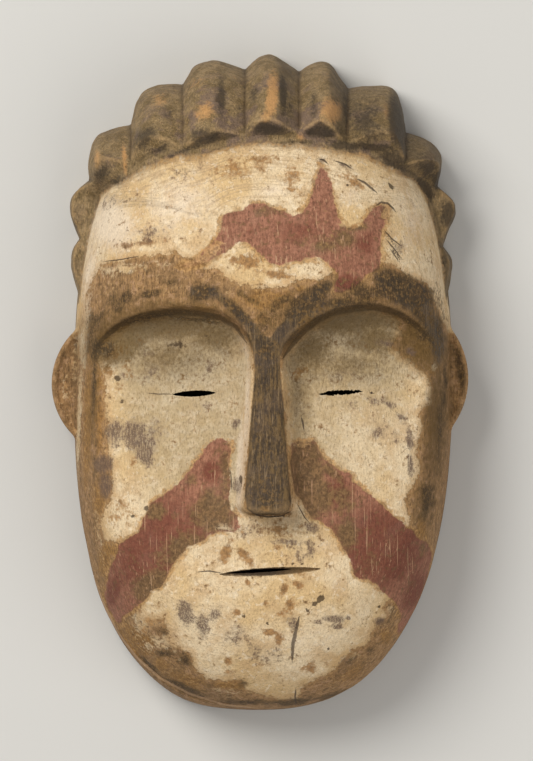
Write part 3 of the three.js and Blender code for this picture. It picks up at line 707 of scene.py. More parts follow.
def surface_net(values, low, step):
    """One vertex in each cell that the surface crosses, and one quad round each grid edge it crosses."""
    inside = values < 0
    size = np.array(values.shape) - 1
    corners = [(i, j, k) for i in (0, 1) for j in (0, 1) for k in (0, 1)]
    count = np.zeros(size, np.int8)
    for i, j, k in corners:
        count += inside[i:i + size[0], j:j + size[1], k:k + size[2]]
    active = (count > 0) & (count < 8)
    cells = np.argwhere(active)
    index = np.full(size, -1, np.int64)
    index[active] = np.arange(len(cells))
    held = np.stack([values[tuple((cells + c).T)] for c in corners], 1).astype(float)
    total, crossings = np.zeros((len(cells), 3)), np.zeros(len(cells))
    for a, first in enumerate(corners):
        for b, second in enumerate(corners):
            if a < b and sum(abs(u - v) for u, v in zip(first, second)) == 1:
                crossed = (held[:, a] < 0) != (held[:, b] < 0)
                share = held[crossed, a] / (held[crossed, a] - held[crossed, b])
                total[crossed] += np.array(first) + share[:, None] * (np.array(second) - np.array(first))
                crossings[crossed] += 1
    vertices = low + (cells + total / crossings[:, None]) * step
    quads = []
    for axis in range(3):
        u, v = (axis + 1) % 3, (axis + 2) % 3
        first = np.take(inside, range(size[axis]), axis)
        second = np.take(inside, range(1, size[axis] + 1), axis)
        edges = np.argwhere(first != second)
        from_low, from_high = edges[:, [u, v]], size[[u, v]] - edges[:, [u, v]]
        edges = edges[(from_low > 0).all(1) & (from_high > 0).all(1)]
        ring = []
        for du, dv in ((-1, -1), (0, -1), (0, 0), (-1, 0)):
            cell = edges.copy()
            cell[:, u] += du
            cell[:, v] += dv
            ring.append(index[tuple(cell.T)])
        quad = np.stack(ring, 1)
        leaving = first[tuple(edges.T)]
        quad[~leaving] = quad[~leaving][:, ::-1]
        quads.append(quad)
    return vertices, np.concatenate(quads)


def pulled_to_surface(vertices, step):
    """Moves vertices along the field's slope onto its surface."""
    reach = 0.02
    for _ in range(2):
        value = carving(vertices)
        slope = np.empty_like(vertices)
        for axis in range(3):
            shift = np.zeros(3)
            shift[axis] = reach
            slope[:, axis] = (carving(vertices + shift) - value) / reach
        move = -value / np.maximum(0.25, (slope**2).sum(1))
        furthest = 0.6 * step
        move = np.clip(move, -furthest, furthest)
        vertices = vertices + slope * move[:, None]
    return vertices


def mesh_object(name, vertices, faces):
    mesh = bpy.data.meshes.new(name)
    mesh.from_pydata((np.asarray(vertices) * MM).tolist(), [], faces)
    mesh.validate()
    made = bpy.data.objects.new(name, mesh)
    bpy.context.scene.collection.objects.link(made)
    return made


def lens(along):
    """How wide a slit is, as a share of its height, at a place from -1 to 1 along it."""
    return np.maximum(0, 1 - along**2) ** LENS_POWER


def slit_cutter(slit, bottom, top):
    """A lens-shaped prism with slightly ragged edges."""
    steps = 40
    rng = np.random.default_rng(slit["seed"])
    along = np.linspace(-1, 1, steps)
    bow, taper = lens(along) * slit["height"] / 2, (1 - along**2) ** 0.5
    upper = bow + rng.normal(0, slit["ragged"], steps) * taper + LEAST_SLIT
    lower = -bow + rng.normal(0, slit["ragged"], steps) * taper - LEAST_SLIT
    x = along * slit["length"] / 2
    ring = np.concatenate([np.stack([x, lower], 1), np.stack([x[::-1], upper[::-1]], 1)])
    cos, sin = math.cos(slit["tilt"]), math.sin(slit["tilt"])
    ring = ring @ np.array([[cos, sin], [-sin, cos]]) + (slit["x"], slit["y"])
    count = len(ring)
    vertices = [(*point, bottom) for point in ring] + [(*point, top) for point in ring]
    faces = [[i, (i + 1) % count, count + (i + 1) % count, count + i] for i in range(count)]
    faces += [list(range(count))[::-1], list(range(count, 2 * count))]
    return mesh_object("cutter", vertices, faces)


def baked(thing):
    """Replaces an object's mesh by the result of its modifiers."""
    graph = bpy.context.evaluated_depsgraph_get()
    mesh = bpy.data.meshes.new_from_object(thing.evaluated_get(graph))
    thing.modifiers.clear()
    old = thing.data
    thing.data = mesh
    bpy.data.meshes.remove(old)


def vertex_places(mesh):
    """The mesh's vertices in millimetres."""
    flat = np.empty(len(mesh.vertices) * 3)
    mesh.vertices.foreach_get("co", flat)
    return flat.reshape(-1, 3) / MM


def vertex_normals(mesh):
    flat = np.empty(len(mesh.vertices) * 3)
    mesh.vertex_normals.foreach_get("vector", flat)
    return flat.reshape(-1, 3)


def rounded_relief(vertices, quads, normals):
    """How far each vertex of the net stands over its surroundings, about 2 mm round it."""
    first = quads.ravel()
    second = np.roll(quads, -1, 1).ravel()
    ends, starts = np.concatenate([first, second]), np.concatenate([second, first])
    count = np.maximum(np.bincount(ends, minlength=len(vertices)), 1)
    smooth = vertices
    for _ in range(RELIEF_ROUNDS):
        sums = [np.bincount(ends, smooth[starts, axis], len(vertices)) for axis in range(3)]
        smooth = np.stack(sums, 1) / count[:, None]
    return ((vertices - smooth) * normals).sum(1)


def values_from_nearest(places, values, wanted):
    """The value at the nearest of the given places for each place wanted."""
    tree = KDTree(len(places))
    for index, place in enumerate(places.tolist()):
        tree.insert(place, index)
    tree.balance()
    return values[[tree.find(place)[1] for place in wanted.tolist()]]


def plain_vertices(mesh):
    """The vertices of the hollow, the back rim and the steep outer sides, where fewer triangles do."""
    places, normals = vertex_places(mesh), vertex_normals(mesh)
    height = places[:, 2]
    hollow, _ = rounded_box(HOLLOW, places)
    steep = (normals[:, 2] < PLAIN["steep"]) & (height < PLAIN["side_height"])
    return np.flatnonzero((hollow < PLAIN["from_hollow"]) | steep | (height < PLAIN["rim_height"]))


def held_in_box(mesh, box):
    """Puts vertices that the saving of triangles moved past the box back onto it."""
    low, high = np.array(box, float)
    places = np.clip(vertex_places(mesh) * MM, low, high)
    mesh.vertices.foreach_set("co", places.ravel())


def cut_slits(mask):
    """Cuts the eyes through the wall, and the mouth as a shallow lens with a narrow slit in its middle."""
    surface = float(front_height(HEAD, plan_radius(HEAD, np.array(MOUTH["x"]), np.array(MOUTH["y"]))))
    cutters = [slit_cutter(eye, CUT_BOTTOM, CUT_TOP) for eye in EYES]
    cutters.append(slit_cutter(MOUTH, surface - MOUTH_DEPTH, CUT_TOP))
    cutters.append(slit_cutter(MOUTH_SLIT, CUT_BOTTOM, surface))
    for cutter in cutters:
        cut = mask.modifiers.new("cut", "BOOLEAN")
        cut.operation = "DIFFERENCE"
        cut.solver = "MANIFOLD"
        cut.object = cutter
    baked(mask)
    for cutter in cutters:
        bpy.data.objects.remove(cutter)


def save_triangles(mask):
    """Brings the mesh down to its number of triangles, where the form is plain."""
    mask.data.calc_loop_triangles()
    triangles = len(mask.data.loop_triangles)
    if triangles <= MOST_TRIANGLES:
        return
    plain = mask.vertex_groups.new(name="plain")
    plain.add(plain_vertices(mask.data).tolist(), 1, "REPLACE")
    fewer = mask.modifiers.new("fewer", "DECIMATE")
    fewer.vertex_group = plain.name
    fewer.ratio = MOST_TRIANGLES / triangles
    baked(mask)
    mask.vertex_groups.clear()
    held_in_box(mask.data, cad_box)


def carved_mask():
    """The mask's mesh, and how far each vertex stands over its surroundings."""
    values, low = grid_values(GRID_STEP)
    vertices, quads = surface_net(values, low, GRID_STEP)
    vertices = pulled_to_surface(vertices, GRID_STEP)
    mask = mesh_object("mask_carving", vertices, quads.tolist())
    relief = rounded_relief(vertices, quads, vertex_normals(mask.data))
    cut_slits(mask)
    save_triangles(mask)
    mask.data.shade_smooth()
    mask.data.set_sharp_from_angle(angle=math.radians(SHARP_ANGLE))
    return mask, values_from_nearest(vertices, relief, vertex_places(mask.data))


def from_picture(points):
    """Millimetres in plan of points given in the picture's pixels."""
    points = np.asarray(points, float)
    return np.stack([points[:, 0] - PICTURE_MIDDLE[0], PICTURE_MIDDLE[1] - points[:, 1]], 1) * PIXEL


def zone_distance(outline, x, y):
    """Distance to the edge of an outlined area, positive inside."""
    corners = from_picture(outline)
    nearest = np.full(len(x), 1e9)
    inside = np.zeros(len(x), bool)
    for (ax, ay), (bx, by) in zip(corners, np.roll(corners, -1, 0)):
        along = ((x - ax) * (bx - ax) + (y - ay) * (by - ay)) / ((bx - ax) ** 2 + (by - ay) ** 2)
        along = np.clip(along, 0, 1)
        nearest = np.minimum(nearest, np.hypot(x - ax - along * (bx - ax), y - ay - along * (by - ay)))
        if ay != by:
            crosses = (ay > y) != (by > y)
            inside ^= crosses & (x < ax + (y - ay) * (bx - ax) / (by - ay))
    return np.where(inside, nearest, -nearest)


def zones(outlines, x, y):
    """Distance to the edge of several areas taken together, positive inside any of them."""
    return np.maximum.reduce([zone_distance(outline, x, y) for outline in outlines])


def spots(listed, x, y):
    """The strongest of a list of soft round spots at each point, 0 to 1."""
    total = np.zeros(len(x))
    middles = from_picture([spot[:2] for spot in listed])
    for (mx, my), (_, _, wide, high, turn, strength) in zip(middles, listed):
        turn = math.radians(turn)
        dx, dy = x - mx, my - y
        across = (dx * math.cos(turn) + dy * math.sin(turn)) / (wide * PIXEL)
        along = (dy * math.cos(turn) - dx * math.sin(turn)) / (high * PIXEL)
        total = np.maximum(total, strength * (SPOT_REACH - np.hypot(across, along)))
    return np.clip(total, 0, 1)


def line_places(lines, x, y):
    """The signed way across the nearest of the lines, in its half widths, and the nearness to it, 0 to 1."""
    across, nearest = np.full(len(x), float(FAR_ACROSS)), np.full(len(x), 1e9)
    for points, half_width in lines:
        line = from_picture(points)
        steps = np.hypot(*np.diff(line, axis=0).T)
        total, done = steps.sum(), 0
        for (ax, ay), (bx, by), step in zip(line, line[1:], steps):
            ux, uy = (bx - ax) / step, (by - ay) / step
            along = (x - ax) * ux + (y - ay) * uy
            held = np.clip(along, 0, step)
            away = np.hypot(x - ax - held * ux, y - ay - held * uy)
            side = (x - ax) * uy - (y - ay) * ux
            place = (done + along) / total
            taper = np.sqrt(np.clip(4 * place * (1 - place), 0.02, 1))
            value = np.where(np.abs(along - held) > 0.6, FAR_ACROSS, side / (half_width * PIXEL * taper))
            closer = away < nearest
            nearest, across = np.where(closer, away, nearest), np.where(closer, value, across)
            done += step
    return np.clip(across, -FAR_ACROSS, FAR_ACROSS), smooth_step(1.6, 0.7, nearest)


def mouth_depth(x, y):
    """How far inside the mouth's lens a point is in plan."""
    along = (x - MOUTH["x"]) / (MOUTH["length"] / 2)
    middle = MOUTH["y"] + (x - MOUTH["x"]) * math.tan(MOUTH["tilt"])
    inside = MOUTH["height"] / 2 * lens(along) - np.abs(y - middle)
    past_end = np.abs(along) * MOUTH_REACH - MOUTH_REACH
    return np.where(np.abs(along) < 1, inside, -np.hypot(past_end, y - middle))


def paint_fields(mask, relief):
    """Stores what the paint follows on the mesh, as one number at each vertex for each kind."""
    mesh = mask.data
    vertices, normals = vertex_places(mesh), vertex_normals(mesh)
    x, y, z = vertices.T
    foot, head, out = foot_on(HEAD, vertices)
    degrees, back = hair_place(foot, out)
    hollow, _ = rounded_box(HOLLOW, vertices)
    nose = zone_distance(DARK_NOSE, x, y)
    on_top = y > HAIR_LOWEST
    front = smooth_step(-0.1, 0.25, normals[:, 2])
    less_to_right = 0.6 + 0.4 * smooth_step(15, -15, x)
    # The cream is made greyer and darker where the face is sunk, less so low on the right.
    weaker_lower_right = 1 - 0.6 * smooth_step(12, 28, x) * smooth_step(2, -14, y)
    fields = dict(
        hair=np.where(np.abs(degrees) < HAIR_REACH + 3, back, -9),
        back=np.where(on_top, back, 20),
        sweep=np.where(on_top, np.radians(np.clip(degrees, -110, 110)) * SWEEP_RADIUS, 0),
        forehead=smooth_step(18, 24, y) * smooth_step(-26, -22, back) * less_to_right,
        sunken=smooth_step(-1, -6.5, head) * smooth_step(24, 18, y) * smooth_step(-0.5, -4, nose) * weaker_lower_right,
        inward=-(normals[:, :2] * out[:, :2]).sum(1) / np.maximum(np.hypot(out[:, 0], out[:, 1]), 0.3),
        relief=relief,
        inside=np.where(hollow > np.minimum(1.5, 0.4 * z), 0, 1),
        height=z,
        cream=zones((CREAM_FOREHEAD, CREAM_FACE), x, y),
        red=zones((RED_LEFT_BAND, RED_RIGHT_BAND, RED_FIGURE), x, y),
        dark=zones((DARK_NOSE, DARK_INNER_BROW, DARK_OUTER_BROW, DARK_LEFT_BROW), x, y),
        nose=nose,
        shade_and_dirt=spots(SHADE_AND_DIRT_SPOTS, x, y) * (y < 26),
        mouth=mouth_depth(x, y),
        along=x,
        right_side=normals[:, 0],
    )
    for name, listed in FRONT_SPOTS.items():
        fields[name] = spots(listed, x, y) * front
    for name, listed in SPOTS.items():
        fields[name] = spots(listed, x, y)
    for name, lines in LINES.items():
        fields[name], fields["near_" + name] = line_places(lines, x, y)
    for name, values in fields.items():
        kept = mesh.attributes.new(name, "FLOAT", "POINT")
        kept.data.foreach_set("value", np.asarray(values, np.float32))


def linear(red, green, blue):
    """A colour given as 0 to 255 on a screen, as linear values."""
    parts = [v / 255 for v in (red, green, blue)]
    return tuple(v / 12.92 if v <= 0.04045 else ((v + 0.055) / 1.055) ** 2.4 for v in parts) + (1,)


class Paint:
    """Short ways to add shader nodes to one material."""

    def __init__(self, name):
        self.material = bpy.data.materials.new(name)
        self.material.use_nodes = True
        self.nodes, self.links = self.material.node_tree.nodes, self.material.node_tree.links
        self.shader = self.nodes["Principled BSDF"]
        self.place = self.nodes.new("ShaderNodeTexCoord").outputs["Object"]

    def put(self, socket, value):
        if hasattr(value, "is_output"):
            self.links.new(value, socket)
        else:
            socket.default_value = value

    def field(self, name):
        node = self.nodes.new("ShaderNodeAttribute")
        node.attribute_name = name
        return node.outputs["Fac"]

    def math(self, operation, *values):
        node = self.nodes.new("ShaderNodeMath")
        node.operation = operation
        for socket, value in zip(node.inputs, values):
            self.put(socket, value)
        return node.outputs[0]

    def add(self, a, b):
        return self.math("ADD", a, b)

    def times(self, a, b):
        return self.math("MULTIPLY", a, b)

    def largest(self, a, b):
        return self.math("MAXIMUM", a, b)

    def centred(self, noise):
        """Noise from 0 to 1 as a value round 0."""
        return self.add(noise, -0.5)

    def wander(self, value, noise, amount):
        """A value that goes up and down with a noise."""
        return self.add(value, self.times(self.centred(noise), amount))

    def plus(self, value, *parts):
        """A value with parts added to it, each given with how much of it."""
        for part, amount in parts:
            value = self.add(value, self.times(part, amount))
        return value

    def less(self, a, b):
        """The part of a that isn't covered by b."""
        return self.times(a, self.math("SUBTRACT", 1.0, b))

    def noise_at(self, place, detail, roughness, distortion=0):
        node = self.nodes.new("ShaderNodeTexNoise")
        self.links.new(place, node.inputs["Vector"])
        node.inputs["Scale"].default_value = 1
        node.inputs["Detail"].default_value = detail
        node.inputs["Roughness"].default_value = roughness
        node.inputs["Distortion"].default_value = distortion
        return node.outputs["Fac"]

    def noise(self, scale, detail, roughness, seed=0, distortion=0):
        """Noise with the given number of bumps in a millimetre, along x, y and z or the same in all."""
        scale = scale if isinstance(scale, tuple) else (scale,) * 3
        mapping = self.nodes.new("ShaderNodeMapping")
        mapping.inputs["Location"].default_value = (seed * 3.7, seed * 1.3, seed * 2.1)
        mapping.inputs["Scale"].default_value = tuple(v / MM for v in scale)
        self.links.new(self.place, mapping.inputs["Vector"])
        return self.noise_at(mapping.outputs["Vector"], detail, roughness, distortion)

    def noise_on(self, across, along, scale_across, scale_along, detail, roughness):
        """Noise drawn out along a sweep that two fields give in millimetres."""
        joined = self.nodes.new("ShaderNodeCombineXYZ")
        self.put(joined.inputs[0], self.times(across, scale_across))
        self.put(joined.inputs[1], self.times(along, scale_along))
        return self.noise_at(joined.outputs[0], detail, roughness)

    def shaded(self, colour, value):
        """A colour made darker or lighter by a value round 1."""
        node = self.nodes.new("ShaderNodeVectorMath")
        node.operation = "SCALE"
        self.put(node.inputs[0], colour)
        self.put(node.inputs["Scale"], value)
        return node.outputs[0]

    def line(self, name):
        """1 on a thin line, whose edges wander a little."""
        offset = self.wander(self.field(name), self.small, 1.4)
        return self.times(self.step(self.math("ABSOLUTE", offset), 1.25, 0.6), self.field("near_" + name))

    def near(self, name, coarse, fine, low, high):
        """A spot field, broken up by the noises, as a share from 0 to 1."""
        value = self.wander(self.wander(self.field(name), self.medium, coarse), self.small, fine)
        return self.step(value, low, high)

    def step(self, value, low, high):
        """0 up to low and 1 from high, or the other way round where low is the larger one."""
        node = self.nodes.new("ShaderNodeMapRange")
        node.interpolation_type = "SMOOTHSTEP"
        self.put(node.inputs["Value"], value)
        node.inputs["From Min"].default_value = min(low, high)
        node.inputs["From Max"].default_value = max(low, high)
        node.inputs["To Min"].default_value = int(low > high)
        node.inputs["To Max"].default_value = int(low <= high)
        return node.outputs["Result"]

    def ragged(self, distance, coarse, fine, soft, shift=0):
        """1 inside a zone and 0 outside, with an edge that wanders with the noise."""
        value = self.wander(self.wander(distance, self.medium, 2 * coarse), self.small, 2 * fine)
        return self.step(self.add(value, shift), -soft, soft)

    def mix(self, share, first, second):
        """The first colour where the share is 0 and the second one where it is 1."""
        node = self.nodes.new("ShaderNodeMix")
        node.data_type = "RGBA"
        node.clamp_factor = True
        self.put(node.inputs["Factor"], share)
        self.put(node.inputs[6], first)
        self.put(node.inputs[7], second)
        return node.outputs[2]

    def over(self, colour, place, share, other):
        """Another colour laid over the first one in a place, as strongly as its share."""
        other = linear(*other) if isinstance(other, tuple) else other
        return self.mix(self.times(place, share), colour, other)

    def coats(self, colour, *coats):
        """Coats over a colour. Each has its noise, the values where it starts and is full, its share of
        what lies under it and its colour."""
        for noise, low, high, share, other in coats:
            colour = self.over(colour, self.step(noise, low, high), share, other)
        return colour

    def blend(self, value, low, high, first, second):
        """One colour where a value is low and another where it is high."""
        return self.mix(self.step(value, low, high), linear(*first), linear(*second))


def bare_wood(paint):
    """Bare wood, mottled brown, tan and olive."""
    wood = paint.blend(paint.grain, 0.34, 0.66, (128, 96, 60), (178, 140, 96))
    wood = paint.coats(
        wood,
        (paint.blotch, 0.44, 0.62, 0.6, (128, 100, 68)),
        (paint.patch, 0.52, 0.64, 0.5, (188, 150, 116)),
        (paint.patch, 0.46, 0.36, 0.6, (100, 76, 48)),
    )
    ochre = paint.near("ochre_spot", 1.2, 0.6, 0.15, 0.8)
    ochre_colour = paint.blend(paint.small, 0.4, 0.62, (132, 95, 48), (168, 125, 66))
    wood = paint.over(wood, ochre, 0.75, ochre_colour)
    wood = paint.coats(
        wood,
        (paint.streak, 0.55, 0.68, 0.35, (190, 152, 100)),
        (paint.streak, 0.45, 0.34, 0.45, (88, 68, 42)),
        (paint.pores, 0.58, 0.7, 0.5, (84, 62, 40)),
    )
    chips = paint.step(paint.plus(paint.small, (paint.medium, 0.5)), 0.85, 0.93)
    return paint.over(wood, chips, 0.55, (212, 180, 136))


def cream_clay(paint, brushed):
    """Cream clay paint, brushed on thinly, greyer and darker where the face is sunk, and chalky where it
    lies thick, with painted highlight on faces that turn to the light.
    """
    cream = paint.blend(paint.broad, 0.38, 0.62, (229, 207, 172), (214, 183, 135))
    cream = paint.coats(
        cream,
        (paint.blotch, 0.47, 0.64, 0.6, (200, 166, 122)),
        (paint.patch, 0.54, 0.66, 0.4, (188, 158, 118)),
        (paint.patch, 0.44, 0.34, 0.5, (240, 224, 198)),
    )
    cream = paint.over(cream, brushed, 0.62, (182, 154, 120))
    cream = paint.coats(
        cream,
        (paint.speck, 0.6, 0.7, 0.55, (152, 124, 92)),
        (paint.pores, 0.6, 0.72, 0.35, (160, 132, 100)),
    )
    sunken_cream = paint.blend(paint.medium, 0.4, 0.62, (168, 149, 116), (192, 176, 148))
    sunken_cream = paint.coats(sunken_cream, (paint.pores, 0.5, 0.66, 0.5, (146, 124, 92)))
    # Greyer, darker cream where the face is sunk.
    cream = paint.over(cream, paint.field("sunken"), 0.72, sunken_cream)
    # Chalky clay, with painted highlight where faces turn to the light.
    return paint.over(cream, paint.near("chalk_and_highlight", 0.8, 0.8, 0.15, 0.9), 0.82, (234, 216, 192))


def face_clay(paint, colour, brushed):
    """The cream clay where it has held, with rubbed spots and a browner edge, and where that is."""
    brown = paint.near("brown_spot", 2.2, 1.7, 0.2, 0.85)
    thin = paint.times(paint.step(paint.plus(paint.small, (paint.medium, 0.7)), 0.97, 1.06), 0.5)
    covered = paint.ragged(paint.field("cream"), 1.9, 1.5, 0.25, 0.1)
    remnant = paint.near("pale_spot", 1.6, 1.5, 0.35, 0.8)
    covered = paint.largest(covered, paint.times(remnant, 0.8))
    covered = paint.less(covered, paint.times(paint.largest(brown, thin), 0.85))
    colour = paint.mix(covered, colour, cream_clay(paint, brushed))
    rubbed = paint.blend(paint.small, 0.4, 0.6, (128, 92, 54), (176, 128, 74))
    colour = paint.over(colour, brown, 0.55, rubbed)
    edge = paint.ragged(paint.field("cream"), 1.9, 1.5, 0.6, 0.8)
    edge = paint.less(edge, paint.ragged(paint.field("cream"), 1.9, 1.5, 0.6, -1.2))
    return paint.over(colour, edge, 0.4, (186, 146, 96)), covered


def shade_dirt_and_wear(paint, colour):
    """Painted shade with dirt under the brows, a painted shadow line under each brow rim, and abrasion down
    to grey wood in fine upright streaks.
    """
    # Painted shade of the brows, with dirt in it, darkest right under them and down the right side.
    shade_and_dirt = paint.near("shade_and_dirt", 0.9, 0.9, 0.05, 0.95)
    colour = paint.over(colour, shade_and_dirt, 0.8, (88, 65, 24))
    # Painted shadow right under the brow rims.
    colour = paint.over(colour, paint.line("brow_shade"), 0.62, (56, 42, 20))
    haze = paint.near("grey_wear", 0.9, 0.6, 0.1, 0.9)
    colour = paint.over(colour, haze, 0.46, (122, 102, 88))
    grey = paint.near("grey_wear", 1.8, 1.2, 0.25, 0.7)
    grey = paint.times(grey, paint.step(paint.plus(paint.streak, (paint.speck, 0.4)), 0.59, 0.75))
    return paint.over(colour, grey, 0.8, (98, 78, 66))


def red_earth(paint, colour):
    """Red earth paint, rubbed to olive brown in places and darkest near the jaw, and where it is."""
    red = paint.blend(paint.grain, 0.4, 0.6, (130, 85, 66), (166, 114, 92))
    red = paint.over(red, paint.near("deep_red", 1.2, 0.5, 0.25, 0.9), 0.8, (110, 54, 42))
    worn_colour = paint.blend(paint.small, 0.42, 0.6, (94, 74, 46), (128, 101, 66))
    red = paint.over(red, paint.near("worn_red", 1.3, 0.8, 0.15, 0.75), 0.85, worn_colour)
    red = paint.coats(
        red,
        (paint.patch, 0.53, 0.66, 0.55, (106, 82, 52)),
        (paint.pores, 0.58, 0.7, 0.4, (84, 54, 42)),
        (paint.speck, 0.63, 0.73, 0.4, (178, 138, 108)),
        (paint.scratch, 0.64, 0.7, 0.6, (190, 150, 118)),
    )
    zone = paint.field("red")
    reddened = paint.ragged(zone, 0.9, 0.8, 0.22)
    reddened = paint.less(reddened, paint.times(paint.near("faint_red", 1.2, 1.4, 0.3, 0.7), 0.75))
    halo = paint.times(paint.ragged(zone, 2.6, 0.6, 0.4, 0.9), paint.step(paint.blotch, 0.38, 0.5))
    halo_colour = paint.blend(paint.small, 0.4, 0.6, (134, 98, 54), (196, 152, 98))
    colour = paint.over(colour, halo, 0.75, halo_colour)
    return paint.over(colour, reddened, 0.95, red), reddened


def dark_stain(paint, colour):
    """Dark brown stain on the nose and brows, scratched along the grain, where it is, and the nose."""
    stain = paint.blend(paint.grain, 0.42, 0.58, (62, 47, 27), (94, 73, 42))
    stain = paint.coats(
        stain,
        (paint.fibre, 0.5, 0.62, 0.4, (120, 94, 54)),
        (paint.fibre, 0.46, 0.36, 0.6, (44, 34, 24)),
        (paint.blotch, 0.46, 0.58, 0.45, (76, 62, 52)),
        (paint.streak, 0.55, 0.68, 0.4, (132, 106, 70)),
        (paint.streak, 0.46, 0.34, 0.55, (38, 30, 20)),
        (paint.scratch, 0.6, 0.68, 0.5, (144, 120, 88)),
    )
    nose = paint.ragged(paint.field("nose"), 0.3, 0.2, 0.25)
    nose = paint.less(nose, paint.times(paint.near("ochre_spot", 1.0, 1.0, 0.3, 0.8), 0.7))
    worn = paint.step(paint.plus(paint.medium, (paint.small, 0.6)), 0.92, 0.72)
    stained = paint.times(paint.ragged(paint.field("dark"), 1.8, 0.8, 0.8, -0.3), worn)
    stained = paint.largest(stained, nose)
    colour = paint.over(colour, stained, 0.95, stain)
    worn_edge = paint.less(paint.step(paint.relief, 0.25, 0.6), 0.35)
    colour = paint.over(colour, paint.times(worn_edge, nose), 0.55, (158, 128, 90))
    smudge = paint.near("dark_brown", 1.6, 2.0, 0.25, 0.8)
    flecked = paint.plus(paint.small, (paint.streak, 0.6))
    smudge_colour = paint.blend(flecked, 0.76, 0.98, (56, 43, 25), (116, 89, 52))
    colour = paint.over(colour, smudge, 0.82, smudge_colour)
    dotted = paint.near("dark_spot", 0.3, 1.2, 0.35, 0.6)
    return paint.over(colour, dotted, 0.85, (70, 54, 36)), stained, nose


def hair_colour(paint):
    """Olive brown with purplish patches, painted shade on the low facets and on facets turned to the right,
    dark patches that are partly painted shade, and rubbed orange on the crests.
    """
    hair = paint.blend(paint.medium, 0.32, 0.68, (108, 88, 54), (150, 127, 92))
    hair = paint.coats(
        hair,
        (paint.streak, 0.54, 0.66, 0.5, (182, 148, 104)),
        (paint.streak, 0.46, 0.34, 0.55, (76, 60, 38)),
    )
    upper = paint.step(paint.height, 26, 42)
    purple = paint.times(paint.step(paint.blotch, 0.48, 0.6), paint.plus(0.15, (upper, 0.5)))
    hair = paint.mix(purple, hair, linear(108, 88, 82))
    hair = paint.coats(
        hair,
        (paint.patch, 0.54, 0.68, 0.45, (168, 140, 98)),
        (paint.speck, 0.56, 0.7, 0.35, (172, 146, 106)),
        (paint.pores, 0.54, 0.68, 0.35, (82, 66, 44)),
    )
    # Painted shade, with some dirt, on the low bevels that face down towards the face.
    low_facet_shade = paint.step(paint.wander(paint.field("inward"), paint.medium, 0.7), 0.22, 0.5)
    low_facet_shade = paint.times(low_facet_shade, paint.step(paint.hair_back, 0.9, 1.8))
    hair = paint.over(hair, low_facet_shade, 0.75, (58, 46, 32))
    # Painted shade on facets turned to the right, away from the light.
    turned = paint.wander(paint.field("right_side"), paint.medium, 0.6)
    hair = paint.coats(hair, (turned, 0.3, 0.75, 0.45, (66, 54, 38)))
    hair = paint.over(hair, paint.near("hair_orange", 1.3, 1.3, 0.1, 0.95), 0.85, (194, 146, 92))
    crest = paint.wander(paint.relief, paint.small, 0.9)
    hair = paint.coats(hair, (crest, 0.2, 0.65, 0.45, (176, 144, 100)))
    # Dark patches, partly painted shade of the low and right-facing facets.
    hair = paint.over(hair, paint.near("hair_dark_and_shade", 1.4, 1.2, 0.25, 0.85), 0.8, (52, 42, 30))
    return paint.coats(hair, (paint.relief, -0.1, -0.7, 0.7, (66, 52, 34)))


def hair_over(paint, colour):
    """The hair's colour with dirt along the hairline, and where it is."""
    dirt = paint.ragged(paint.hair_back, 1.8, 1.4, 1.2, 1.1)
    dirt_colour = paint.blend(paint.small, 0.42, 0.58, (96, 72, 44), (158, 120, 72))
    colour = paint.over(colour, dirt, 0.7, dirt_colour)
    haired = paint.ragged(paint.hair_back, 1.1, 0.6, 0.3, -0.1)
    return paint.mix(haired, colour, hair_colour(paint)), haired


def mouth_shade_and_marks(paint, colour, haired, nose):
    """The mouth's lens painted dark as the shade in its groove, dirt in the hollows, rubbed edges, scratches
    with a painted highlight on the jaw lip, and cracks with a painted shadow line under the nose, and where
    the cracks and that shadow line are.
    """
    # Painted shade in the mouth's groove, darkest at its left end.
    mouth = paint.step(paint.wander(paint.field("mouth"), paint.small, 0.5), -0.15, 0.2)
    mouth_shade_colour = paint.blend(paint.field("along"), 3, 13, (58, 44, 34), (132, 108, 74))
    colour = paint.over(colour, mouth, 0.92, mouth_shade_colour)
    recess = paint.wander(paint.relief, paint.small, 0.4)
    colour = paint.coats(colour, (recess, -0.2, -0.9, 0.6, (84, 64, 40)))
    rubbed = paint.step(paint.wander(paint.relief, paint.small, 0.5), 0.3, 0.8)
    rubbed = paint.less(paint.less(rubbed, haired), nose)
    colour = paint.over(colour, rubbed, 0.35, (160, 126, 86))
    # Pale scratches, and a painted highlight along the jaw lip.
    colour = paint.over(colour, paint.line("scratch"), 0.55, (200, 164, 128))
    # Cracks, and a painted shadow line under the nose.
    cracks_and_shadow_line = paint.line("crack_and_shadow_line")
    colour = paint.over(colour, cracks_and_shadow_line, 0.8, (70, 56, 46))
    fleck = paint.noise(1.5, 3, 0.75, 12)
    mottled = paint.wander(paint.times(paint.centred(fleck), 0.6), paint.streak, 0.5)
    return paint.shaded(colour, paint.add(1, mottled)), cracks_and_shadow_line


def raw_back(paint, colour, haired):
    """Bare wood on the back, the rim and low on the sides."""
    raw = paint.blend(paint.grain, 0.4, 0.6, (92, 68, 44), (148, 114, 78))
    raw = paint.coats(raw, (paint.medium, 0.45, 0.62, 0.5, (70, 52, 36)))
    low = paint.step(paint.wander(paint.height, paint.medium, 12), 13, 4)
    bare = paint.largest(paint.field("inside"), paint.times(paint.less(low, haired), 0.8))
    return paint.mix(bare, colour, raw)


def bumps(paint, surface):
    """Lets the light see a height given in millimetres."""
    bump = paint.nodes.new("ShaderNodeBump")
    bump.inputs["Strength"].default_value = 1
    bump.inputs["Distance"].default_value = MM
    paint.links.new(surface, bump.inputs["Height"])
    paint.links.new(bump.outputs["Normal"], paint.shader.inputs["Normal"])


